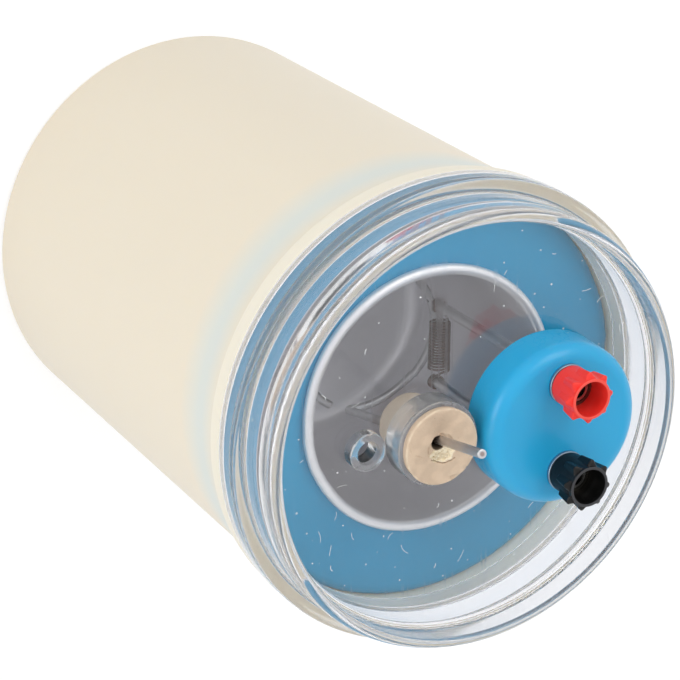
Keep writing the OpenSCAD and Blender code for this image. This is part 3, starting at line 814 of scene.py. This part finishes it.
def cloudy_metal(name, base, stain, amount, scale, low, high, metallic=1.0):
    """Metal with a cloudy tone, and a polish that changes with the same cloud."""
    mat, tree, shader = finish(name, Metallic=metallic)
    tone, noise = cloudy(tree, base, stain, amount, scale)
    set_node(tree, shader, Base_Color=tone, Roughness=uneven(tree, noise, low, high))
    return mat


def plated(name, colour, rough):
    """Plated metal with a slightly cloudy polish."""
    return cloudy_metal(name, colour, dimmed(colour, 0.8), 0.5, 300.0, rough, rough + 0.15)


nickel = plated("nickel", (0.50, 0.49, 0.47, 1), 0.14)
steel = plated("plated_steel", (0.62, 0.62, 0.62, 1), 0.25)
# The washers' steel is painted dark and bluish: painted shade, for the dark blue shadow at the foot of each cap
shade_blue_steel = plated("shade_blue_steel", (0.30, 0.38, 0.46, 1), 0.3)
# The bushes' brass is painted nearly black: painted shade, for the darkness deep in each cap's bore
brass = plated("shade_dark_brass", (0.17, 0.155, 0.13, 1), 0.18)
dull_rod = cloudy_metal("dull_rod", (0.92, 0.92, 0.93, 1), (0.68, 0.67, 0.66, 1), 0.7, 220.0, 0.28, 0.5)

# %% Studs, washers, nuts and rods
PITCH, THREAD_DEPTH = 0.7, 0.28
PLUG_R, PLUG_DEPTH = 2.0, 12.0
ROD_R, WASHER_R, WASHER_T = 1.2, 4.26, 0.8


def thread(r, z, angle):
    """A winding ridge: it is 0 to 0.28 mm deep, by how far (height / pitch - angle / turn) is from a whole number."""
    phase = z / PITCH - angle / TAU
    ridge = np.abs(phase - np.round(phase)) * 2
    ends = np.clip(np.minimum(z - STUD_END - 0.3, STUD_TOP - 0.3 - z) / 0.4, 0, 1)
    return r - THREAD_DEPTH * ridge * ends * (r > STUD_R - 0.2), z


side_z = np.arange(STUD_END + 0.3, STUD_TOP - 0.29, 0.1)
bore_end = STUD_END + 4.5
stud_outline = np.concatenate([
    [(0, bore_end), (1.25, bore_end), (1.25, STUD_END), (STUD_R - 0.3, STUD_END)],
    np.column_stack([np.full(len(side_z), STUD_R), side_z]),
    [(STUD_R - 0.3, STUD_TOP), (PLUG_R, STUD_TOP), (PLUG_R, STUD_TOP - PLUG_DEPTH), (0, STUD_TOP - PLUG_DEPTH)]])
washer_outline = round_corners([
    (3.0, HEAD_TOP), (WASHER_R, HEAD_TOP, 0.2), (WASHER_R, HEAD_TOP + WASHER_T, 0.2),
    (3.0, HEAD_TOP + WASHER_T, 0.1)], steps=4)
rod_outline = round_corners([
    (0, ROD_END), (ROD_R, ROD_END, 0.3), (ROD_R, bore_end - 0.05), (0, bore_end - 0.05)], steps=4)
for colour, y in (("red", POST_Y), ("black", -POST_Y)):
    for name, outline, slot, node, sides, shape, mat in (
            ("stud_threaded", stud_outline, "stud", "stud", 64, thread, nickel),
            ("washer_shaded", washer_outline, "fixing", "seat_washer", 96, None, shade_blue_steel),
            ("rod_dull", rod_outline, "rod", "heater_rod", 48, None, dull_rod)):
        dress(turned(f"{colour}_{name}", outline, "lid", [f"{colour}_{node}"], sides, (HEAD_X, y), shape), mat)
    for node, mat in (("nut", steel), ("lock_washer", steel), ("cap_bush", brass)):
        dress(nodes[f"{colour}_{node}"], mat)

# %% [markdown]
# ## The caps
#
# A cap is a moulded sleeve with eight ribs that grow towards its open mouth, so that fingers get a grip, and a thin
# plain ring round the mouth. The ribs are part of the same surface: the radius grows with a rounded pulse eight times
# round, and that pulse's height follows the distance up the cap. Eight blocks set on a sleeve would have hard roots,
# and a moulded rib runs softly into its sleeve.

# %% Caps
CAP_R, CAP_BORE, CAP_TIP = 4.2, 3.7, 5.4
RIBS, RIB_ROOT, RIB_HALF, RIB_BLUNT = 8, 4.0, 1.32, 0.50
RIB_LOW, RIB_HIGH = CAP_Z + 0.36 * CAP_H, CAP_Z + CAP_H - 0.75
CAP_TOP = CAP_Z + CAP_H


def soft_most(u, v, width):
    """The larger of two values, with the corner between them rounded over about `width`."""
    return 0.5 * (u + v + np.sqrt((u - v) ** 2 + width**2))


def blend(value):
    """Carries 0 to 1 onto 0 to 1 with a soft start and end: 3 v squared minus 2 v cubed."""
    v = np.clip(value, 0, 1)
    return v * v * (3 - 2 * v)


def ribbed(first):
    """Radius = the larger of the sleeve and the rib. A rib is a blunt wedge: its two sides are straight lines that
    run from the root to the tip, and width and tip grow evenly from the rib's foot to the mouth, where the sleeve
    itself is 0.1 mm thicker."""
    def shape(r, z, angle):
        grown = 0.62 + 0.38 * np.clip((z - RIB_LOW) / (RIB_HIGH - RIB_LOW), 0, 1)
        part = (angle - first) / TAU * RIBS
        a = np.abs(part - np.round(part)) * TAU / RIBS
        slope = (RIB_HALF - RIB_BLUNT) / (CAP_TIP - RIB_ROOT)
        side = (RIB_HALF * grown + slope * RIB_ROOT) / (np.sin(a) + slope * np.cos(a))
        tip = (RIB_ROOT + (CAP_TIP - RIB_ROOT + 0.22) * grown) / np.cos(a)
        rib = -soft_most(-side, -tip, 0.30)
        there = np.clip((z - RIB_LOW) / 0.6, 0, 1) * np.sqrt(np.clip((RIB_HIGH + 0.1 - z) / 0.45, 0, 1))
        outside = np.clip((r - CAP_BORE - 0.3) / 0.15, 0, 1)
        wall = r + 0.10 * blend((z - RIB_LOW) / 3) * outside
        return wall + np.maximum(soft_most(rib, wall, 0.22) - wall - 0.06, 0) * there * outside, z
    return shape


# Rings lie close together where the ribs start and end
cap_low = round_corners([
    (CAP_BORE, CAP_Z, 0.12), (CAP_R, CAP_Z, 0.45), (CAP_R, CAP_Z + 2), (CAP_BORE, CAP_Z + 2)], steps=5)
cap_high = round_corners([
    (CAP_BORE, CAP_Z + 7), (CAP_R, CAP_Z + 7), (CAP_R, CAP_TOP, 0.16), (CAP_BORE, CAP_TOP, 0.16)], steps=5)
cap_side = [run(count, CAP_R, (CAP_Z + low, CAP_Z + high))
            for low, high, count in ((0.6, 2.9, 9), (3.0, 3.8, 9), (4.1, 7.3, 14), (7.4, 8.0, 12), (8.2, 8.2, 1))]
cap_outline = np.concatenate([cap_low[:-2], *cap_side, cap_high[2:], run(8, CAP_BORE, (CAP_TOP - 0.5, CAP_Z + 0.5))])


def cap_plastic(name, base, stain, mouth_highlight, rough):
    """Glossy moulded plastic with fine handling marks, and a mouth ring painted paler: a painted highlight on the
    mouth's edge.
    """
    mat, tree, shader = finish(name, IOR=1.5, Specular_IOR_Level=0.25, Coat_Weight=0.08, Coat_Roughness=0.2)
    tone, noise = cloudy(tree, base, stain, 0.5, 350.0)
    marked = specked(tree, tone, stain, 900.0, 0.16, 0.10)
    # Painted highlight: a thin band just under the top of the mouth is paler
    edge = by_height(tree, CAP_TOP - 0.22, CAP_TOP - 0.08, 0.0, 0.75)
    set_node(tree, shader, Base_Color=mix_colour(tree, edge, marked, mouth_highlight),
             Roughness=uneven(tree, noise, rough, rough + 0.15))
    bump(tree, shader, noise, 0.15, 0.0002)
    return mat


# Each cap's third colour is the painted highlight on its mouth ring
red = cap_plastic("cap_red", (0.93, 0.032, 0.022, 1), (0.93, 0.08, 0.06, 1), (0.94, 0.11, 0.08, 1), 0.32)
black = cap_plastic("cap_black", (0.002, 0.002, 0.002, 1), (0.008, 0.008, 0.009, 1), (0.055, 0.055, 0.06, 1), 0.36)
for colour, y, first, mat in (("red", POST_Y, 0.0, red), ("black", -POST_Y, np.radians(33.0), black)):
    dress(turned(f"{colour}_cap_ribbed", cap_outline, f"{colour}_cap", [f"{colour}_cap"],
                 320, (HEAD_X, y), ribbed(first)), mat)

# %% [markdown]
# ## The heater
#
# The heater is a close coil of resistance wire between the two rods. The same wire goes three times round each rod's
# end. Its path is made in five lengths: a helix round one rod, a smooth lead, the coil, and the same again turned
# half round. Separate rings would look alike from afar, but the real thing is one wire, and it is modelled as one.
# It has gone brown and grey with heat.

# %% Heater coil
WIRE_R, COIL_R, COIL_L, COIL_TURNS = 0.26, 2.28, 11.9, 17
WRAP_TURNS, WRAP_PITCH, PER_TURN = 3, 0.56, 28
WRAP_R, WRAP_LOW = ROD_R + WIRE_R + 0.02, ROD_END + 0.6
turns = np.arange(WRAP_TURNS * PER_TURN + 1) / PER_TURN
angle = TAU * turns - np.pi / 2
wrap_out = np.column_stack([np.cos(angle), np.sin(angle), 0 * angle])
wrap = WRAP_R * wrap_out + np.column_stack([HEAD_X + 0 * turns, POST_Y + 0 * turns, WRAP_LOW + WRAP_PITCH * turns])
t = np.arange(-COIL_TURNS * PER_TURN // 2, 1) / PER_TURN
facing = -np.cos(np.pi * COIL_TURNS)
coil_out = np.column_stack([facing * np.sin(TAU * t), 0 * t, -facing * np.cos(TAU * t)])
coil = COIL_R * coil_out + np.column_stack([HEAD_X + 0 * t, -COIL_L * t / COIL_TURNS, ROD_END + 2.35 + 0 * t])


def lead(p, p_way, q, q_way, steps):
    """A smooth curve between two points with given directions: the cubic whose ends and end slopes are given."""
    s = np.linspace(0, 1, steps + 1)[1:-1, None]
    return ((2 * s**3 - 3 * s**2 + 1) * p + (s**3 - 2 * s**2 + s) * p_way
            + (3 * s**2 - 2 * s**3) * q + (s**3 - s**2) * q_way)


bridge = lead(wrap[-1], np.array([4.4, 0, 0.4]), coil[0], 4.4 * unit(coil[1] - coil[0]), 20)
share = np.linspace(0, 1, len(bridge) + 2)[1:-1, None]
bridge_out = (1 - share) * wrap_out[-1] + share * coil_out[0] + np.array([0.6, 0, 0]) * np.sin(np.pi * share)


def both_halves(rows, middle):
    """Rows of points, and again turned half a turn about the upright line at `middle`, in reverse order."""
    half = np.concatenate(rows)
    return np.concatenate([half, (half[:-1] * [-1, -1, 1] + [2 * middle, 0, 0])[::-1]])


heater_path = both_halves([wrap, bridge, coil], HEAD_X)
heater_out = both_halves([wrap_out, bridge_out, coil_out], 0.0)
heater = wire("coil_wound", heater_path, WIRE_R, heater_out, "lid", ["heater_coil"], sides=10)
burnt = cloudy_metal("burnt_wire", (0.15, 0.088, 0.078, 1), (0.25, 0.19, 0.175, 1), 0.9, 400.0, 0.35, 0.6,
                     metallic=0.35)
dress(heater, burnt)
print("length of the wire:", round(float(np.linalg.norm(np.diff(heater_path, axis=0), axis=1).sum())), "mm")

# %% [markdown]
# ## The stirrer
#
# The stirrer is one piece of aluminium wire: a straight rod that leans, a bend, and an open loop that lies level in
# the cup. Its path is worked out as three runs of points: a line, an arc in the plane of the bend, and an arc round
# the loop's middle. A curve object with a bevel could do this too, but its handles only come near to true arcs.

# %% Stirrer
STIR_R, LOOP_R, BEND_R, STIR_REACH = 0.95, 17.5, 3.2, 21.0
lean, way = np.radians(17.5), np.radians(116.0)
stir_axis = np.array([np.sin(lean) * np.cos(way), np.sin(lean) * np.sin(way), np.cos(lean)])
guide = np.array([BUNG_X, 1.2, BUNG_TOP - 1.0])
corner = guide + stir_axis * (LOOP_Z - guide[2]) / stir_axis[2]
loop_start = np.arctan2(corner[1], corner[0])
tangent = np.array([-np.sin(loop_start), np.cos(loop_start), 0.0])
bend_turn = np.arccos(-stir_axis @ tangent)
bend_set = BEND_R * np.tan(bend_turn / 2)
bend_low = corner + stir_axis * bend_set
loop_mid = corner + tangent * bend_set - LOOP_R * np.array([np.cos(loop_start), np.sin(loop_start), 0.0])
across = unit(tangent - (tangent @ stir_axis) * stir_axis)
rod_top = guide + stir_axis * STIR_REACH / stir_axis[2]
rod_run = rod_top + np.linspace(0, 1, 60)[:, None] * (bend_low - rod_top)
a = np.linspace(0, bend_turn, 20)[1:-1, None]
bend_run = bend_low + across * BEND_R - BEND_R * (across * np.cos(a) + stir_axis * np.sin(a))
a = loop_start + np.radians(np.linspace(0, 335, 180))[:, None]
loop_run = loop_mid + LOOP_R * np.hstack([np.cos(a), np.sin(a), 0 * a])
path = np.concatenate([rod_run, bend_run, loop_run])
plane = unit(np.cross(tangent, stir_axis))
outward = np.concatenate([np.tile(plane, (len(rod_run) + len(bend_run), 1)), loop_run - loop_mid])


def square_ends(path, outward, radius, edge):
    """Adds a small round edge at both ends: the radius falls over the last bit of wire like a quarter circle."""
    a = np.linspace(0, np.pi / 2, 6)[1:, None]
    start = (path[0] + edge * np.sin(a) * unit(path[0] - path[1]))[::-1]
    end = path[-1] + edge * np.sin(a) * unit(path[-1] - path[-2])
    sizes = radius - edge * (1 - np.cos(a[:, 0]))
    same = [np.repeat(outward[:1], len(a), 0), outward, np.repeat(outward[-1:], len(a), 0)]
    sizes = [sizes[::-1], np.full(len(path), radius), sizes]
    return [np.concatenate(rows) for rows in ([start, path, end], same, sizes)]


path, outward, sizes = square_ends(path, outward, STIR_R, 0.22)
stirrer = wire("stirrer_wire", path, sizes, outward, "stirrer", ["stirrer"], sides=24)
# The sawn upper end is darker in its middle, which is the last point but one
values = np.ones(len(stirrer.data.vertices))
values[-2] = 0.0
give_values(stirrer, "from_heart", values)
drawn, tree, shader = finish("drawn_aluminium", Metallic=1.0)
tone, noise = cloudy(tree, (0.66, 0.66, 0.68, 1), (0.46, 0.455, 0.45, 1), 0.8, 260.0)
sawn = by_height(tree, 156.4, 156.7)
off_heart = between(tree, stored(tree, "from_heart"), 0.45, 0.85)
end_face = mix_colour(tree, off_heart, (0.33, 0.27, 0.265, 1), (0.60, 0.60, 0.61, 1))
set_node(tree, shader, Base_Color=mix_colour(tree, sawn, tone, end_face), Roughness=uneven(tree, noise, 0.26, 0.46))
bump(tree, shader, noise, 0.12, 0.0002)
dress(stirrer, drawn)

# %% [markdown]
# ## The bung
#
# The bung is old natural rubber. The stirrer has worn its hole wide at the top, and crumbs of rubber lie round it.
# Its surface is a grid of rings that close on themselves: out over the top face, down the taper, in over the bottom
# face, and up through the leaning hole. Each ring has its own middle and radius. A Boolean could cut the leaning
# hole, but would leave no rings round it to carry the wear.

# %% Rings of the bung
HOLE_R, WORN_R, BUNG_EDGE, AROUND = 1.03, 1.62, 0.5, 360
top_r = bung_radius(BUNG_TOP)
edge_turn = np.radians(np.linspace(90, 5, 8))
taper_high, taper_low = BUNG_TOP - 1, BUNG_END + 0.8
# Each row is a ring's radius, its height, and the share of its middle that is the bung's own and not the wire's
rings = np.concatenate([
    run(92, (WORN_R, top_r - BUNG_EDGE), BUNG_TOP, (0, 1)),
    np.insert(arc(top_r - BUNG_EDGE, BUNG_TOP - BUNG_EDGE, BUNG_EDGE, edge_turn), 2, 1, axis=1),
    run(16, (bung_radius(taper_high), bung_radius(taper_low)), (taper_high, taper_low), 1),
    [(BUNG_LOW_R - 0.1, BUNG_END + 0.25, 1), (BUNG_LOW_R - 0.6, BUNG_END, 1), (4.0, BUNG_END, 0.5),
     (HOLE_R + 0.15, BUNG_END, 0)],
    run(14, HOLE_R, (BUNG_END + 0.2, BUNG_TOP - 4.4), 0),
    [(HOLE_R + 0.1, BUNG_TOP - 3.4, 0), (HOLE_R + 0.3, BUNG_TOP - 2.2, 0), (HOLE_R + 0.5, BUNG_TOP - 1.1, 0),
     (WORN_R - 0.1, BUNG_TOP - 0.4, 0)]])
radius, level, share = rings.T[:, :, None]
# The stirrer's line at each height. The hole has worn towards one side at the top, so its rings slide off it there
line = guide[:2] + stir_axis[:2] / stir_axis[2] * (level - guide[2])
slide = np.clip((level - BUNG_TOP + 3.4) / 3.4, 0, 1) * np.array([-0.72, -0.50])
centre = (line + slide) * (1 - share) + np.array([BUNG_X, 0.0]) * share
angle = np.arange(AROUND) * TAU / AROUND
x, y = centre[:, :1] + radius * np.cos(angle), centre[:, 1:] + radius * np.sin(angle)
z = level + 0 * angle
on_top = np.clip((level - BUNG_TOP + 0.5) / 0.5, 0, 1)
u, v = x - BUNG_X, y

# %% [markdown]
# Age shows on the bung's top: a worn pit round the hole, a patch of crumbled rubber in the pit's lower half, a few
# cracks, a shallow valley and a chipped rim. Each is a depth worked out from a point's place on the face, and their
# sum sinks the top's points; the crumbled patch stands up again in the pit. Some of these values are also stored on
# the mesh, so that the rubber's colour follows: the crumbled patch is paler, and the cracks darker. Painted light is
# stored with them: a painted highlight along the rim, a painted shadow over the valley and painted shade down the
# hole.

# %% Wear of the bung


def mottle(scale, seed):
    """Unevenness over the top face."""
    return ripples(u, v, 0 * u, scale, seed)


def off_line(x, y, points):
    """The distance from each point to a broken line through `points`: the smallest distance to any of its pieces."""
    best = np.full(x.shape, 99.0)
    for (ax, ay), (bx, by) in zip(points[:-1], points[1:]):
        run_square = (bx - ax) ** 2 + (by - ay) ** 2
        t = np.clip(((x - ax) * (bx - ax) + (y - ay) * (by - ay)) / run_square, 0, 1)
        best = np.minimum(best, np.hypot(x - ax - t * (bx - ax), y - ay - t * (by - ay)))
    return best


# Each crack is a depth and the points of its line, from the middle of the face
CRACKS = [
    (0.42, [(-2.3, -2.4), (-1.6, -2.85), (-0.7, -3.15), (0.1, -3.5), (0.8, -3.6), (1.5, -3.4), (2.2, -3.35),
            (2.9, -2.95)]),
    (0.25, [(-3.0, 0.6), (-3.15, 0.0), (-3.1, -0.9)]), (0.08, [(-7.25, 1.45), (-7.05, 0.3)]),
    (0.14, [(-6.0, -0.6), (-4.45, -1.3)]), (0.07, [(-5.85, -1.8), (-4.1, -1.7)]), (0.22, [(4.2, -6.9), (5.3, -6.4)])]
crack, wiggle = 0 * u, 0.05 * mottle(0.8, 5)
for depth, points in CRACKS:
    crack = np.maximum(crack, depth * np.exp(-((off_line(u, v, points) + wiggle) / 0.10) ** 2))
wander = 0.10 * mottle(1.6, 21)
pit = blend((1 + wander - np.hypot((u + 0.1) / 3.05, (v + 0.35) / 3.1)) / 0.16)
patch = blend((1 + 1.4 * wander - np.hypot((u - 0.15) / 2.9, (v + 1.75) / 1.75)) / 0.2)
valley = 0.60 * np.exp(-(((u + 0.3) / 2.4) ** 2)) * blend((v - 0.5) / 3) * blend((7.8 - v) / 3)
rim = np.clip(1 - np.abs(np.hypot(u, v) - top_r) / 1.3, 0, 1)
chips = 0.30 * rim * np.clip(mottle(2.2, 8) - 0.15, 0, 1) * (1 + 1.5 * (u > 2) * (v < -3))
crumble = 0.30 * patch * (0.6 + 0.7 * mottle(0.9, 4) + 0.35 * mottle(0.45, 9))
sink = 0.06 * (1 + mottle(3.0, 3)) + 0.015 * mottle(0.7, 12) + 0.50 * pit + crack + valley + chips
# A painted highlight along the top's rim, broken up by noise
rim_highlight = 0.55 * blend((rim - 0.62) / 0.3) * blend(0.6 + mottle(1.7, 31))
# Painted shadow over the valley above the hole, with a random darker tone
shade = valley * 0.30 + 0.10 * blend(0.5 + mottle(4.0, 17))

# %% Bung
z = z - on_top * np.maximum(sink - crumble, 0.01)
push = 1 - 0.004 * (1.2 + ripples(x, y, z, 4.0, 6)) * share * (1 - on_top)
grid = np.stack([BUNG_X + (x - BUNG_X) * push, y * push, z], -1).reshape(-1, 3)
# The rings run out over the top first, which is clockwise, so the order is turned round to face outwards
faces = ring_faces(len(radius), AROUND, True)[:, ::-1].tolist()
bung = add_piece("bung_rubber", grid, faces, "lid", ["bung"])
# Painted shade: the hole's walls get darker further down
in_hole = (share < 0.01) * np.clip((BUNG_TOP + 0.2 - level) / 1.6, 0, 1)
# Paler: the crumbled patch and the painted rim highlight. Darker: the cracks, the painted valley shadow and the
# painted shade in the hole
give_values(bung, "pale", np.maximum(patch, rim_highlight) * on_top)
give_values(bung, "deep", np.maximum(np.maximum(np.clip(crack / 1.05, 0, 1), shade) * on_top, 0.9 * in_hole))
print("the bung's top sinks by up to", round(float((on_top * (sink - crumble)).max()), 2), "mm")


def rubber(name, base, stain, deep):
    """Aged rubber: matt, cloudy, with darker pits and fine grain, and painted shade that makes it greyer where the
    socket hides it.
    """
    mat, tree, shader = finish(name, Roughness=0.8, IOR=1.45)
    tone, _ = cloudy(tree, base, stain, 0.8, 230.0)
    tone = specked(tree, tone, deep, 700.0, 0.13, 0.03)
    # Painted shade: greyer and darker lower down, inside the socket
    tone = mix_colour(tree, by_height(tree, 128.5, 132, 0.6, 0.0), tone, (0.42, 0.38, 0.33, 1))
    # Paler where the mesh stores the crumbled patch and the painted rim highlight
    tone = mix_colour(tree, stored(tree, "pale"), tone, (0.92, 0.81, 0.60, 1))
    # Darker where the mesh stores the cracks, the painted valley shadow and the painted shade in the hole
    set_node(tree, shader, Base_Color=mix_colour(tree, stored(tree, "deep"), tone, dimmed(deep, 0.16)))
    bump(tree, shader, grain(tree, 1400.0), 0.5, 0.0003)
    return mat


dress(bung, rubber("old_rubber", (0.76, 0.585, 0.425, 1), (0.66, 0.49, 0.34, 1), (0.50, 0.36, 0.24, 1)))
crumb_rubber = rubber("rubber_crumb", (0.82, 0.70, 0.50, 1), (0.74, 0.60, 0.40, 1), (0.6, 0.45, 0.3, 1))

# %% [markdown]
# ## Crumbs, dust and lint
#
# Crumbs of rubber lie round the worn hole. Clear plastic that lies about gathers dust and short curled fibres. All
# are real geometry, many copies of one small shape in one piece, so that they look right through the clear lid from
# any side. A particle system could scatter them, but has to be made real before it is kept. Here their places and
# sizes are drawn with fixed seeds, and what would fall on a part of the lid is left out.

# %% Crumbs round the hole
LAT, LON = 6, 9
v, w = np.linspace(0, np.pi, LAT + 2)[1:-1, None], np.arange(LON) * TAU / LON
ball = np.stack([np.sin(v) * np.cos(w), np.sin(v) * np.sin(w), np.cos(v) + 0 * w], -1).reshape(-1, 3)
ball = np.concatenate([ball, [[0, 0, 1], [0, 0, -1]]])
ball_faces = [face[::-1] for face in closed_faces(LAT, LON)]


def scatter(name, copies, faces, mat):
    """Makes one piece of many copies of a small shape. `copies` holds each one's points, in the same order."""
    count, points = copies.shape[:2]
    faces = [[i + k * points for i in face] for k in range(count) for face in faces]
    dress(add_piece(name, copies.reshape(-1, 3), faces, "lid"), mat)
    print(count, "copies")


def standing(spots, height):
    """Spots on a level surface as points at a height."""
    return np.column_stack([spots, np.full(len(spots), height)])[:, None]


draw = np.random.default_rng(11)
CRUMBS = 34
spots = draw.normal(0, 1, (CRUMBS, 2)) * [0.95, 0.55] + [0.15, -1.7] + [BUNG_X, 0.0]
size = draw.uniform(0.12, 0.30, (CRUMBS, 1, 1)) * draw.uniform(0.7, 1.3, (CRUMBS, 1, 3)) * [1, 1, 0.6]
rough = 1 + 0.22 * draw.normal(size=(CRUMBS, len(ball), 1))
scatter("bung_crumbs", standing(spots, BUNG_TOP - 0.32) + ball * size * rough, ball_faces, crumb_rubber)

# %% Dust


def on_bare_window(spots, gap):
    """True for each spot that is further than `gap` from the head, the socket and the port."""
    taken = ((HEAD_X, HEAD_R), (BUNG_X, SOCKET_R), (PORT_X, PORT_R))
    return np.min([np.hypot(spots[:, 0] - x, spots[:, 1]) - r for x, r in taken], axis=0) > gap


def around(r, a):
    """Spots at distance r from the axis and angle a."""
    return np.column_stack([r * np.cos(a), r * np.sin(a)])


draw = np.random.default_rng(7)
DUST = 90
spots = around(42.0 * np.sqrt(draw.uniform(0, 1, DUST)), draw.uniform(0, TAU, DUST))
spots = spots[on_bare_window(spots, 0.4)]
size = draw.uniform(0.05, 0.17, (len(spots), 1, 1)) * draw.uniform(0.6, 1.6, (len(spots), 1, 3)) * [1, 1, 0.5]
fluff, tree, shader = finish("dust", Base_Color=(0.85, 0.85, 0.84, 1), Roughness=0.9)
scatter("window_dust", standing(spots, WINDOW_Z + 0.03) + ball * size, ball_faces, fluff)

# %% Lint
# Short curled fibres: each one's heading turns evenly along it, and its points are the running sum of its steps
draw = np.random.default_rng(19)
FIBRES, JOINTS = 46, 9
spots = around(40.0 * np.sqrt(draw.uniform(0.1, 1, FIBRES)), draw.uniform(0, TAU, FIBRES))
thick, long = draw.uniform(0.04, 0.08, FIBRES), draw.uniform(0.8, 3.2, FIBRES)
start, bend = draw.uniform(0, TAU, (FIBRES, 1)), draw.uniform(-1.6, 1.6, (FIBRES, 1))
heading = start + bend * np.linspace(-0.5, 0.5, JOINTS)
bare = on_bare_window(spots, 3.2)
spots, thick, long, heading = spots[bare], thick[bare, None, None, None], long[bare, None, None], heading[bare]
ahead = np.stack([np.cos(heading), np.sin(heading), 0 * heading], -1)
aside = np.stack([-np.sin(heading), np.cos(heading), 0 * heading], -1)
path = np.cumsum(ahead, axis=1) * (long / JOINTS) + standing(spots, WINDOW_Z + 0.06)
corner = np.arange(4)[:, None] * TAU / 4
ring = np.cos(corner) * aside[:, :, None] + np.sin(corner) * np.array([0.0, 0.0, 1.0])
fibres = (path[:, :, None] + thick * ring).reshape(len(spots), -1, 3)
end = 4 * (JOINTS - 1)
fibre_faces = ring_faces(JOINTS, 4).tolist() + [[3, 2, 1, 0], [end, end + 1, end + 2, end + 3]]
scatter("window_lint", fibres, fibre_faces, fluff)
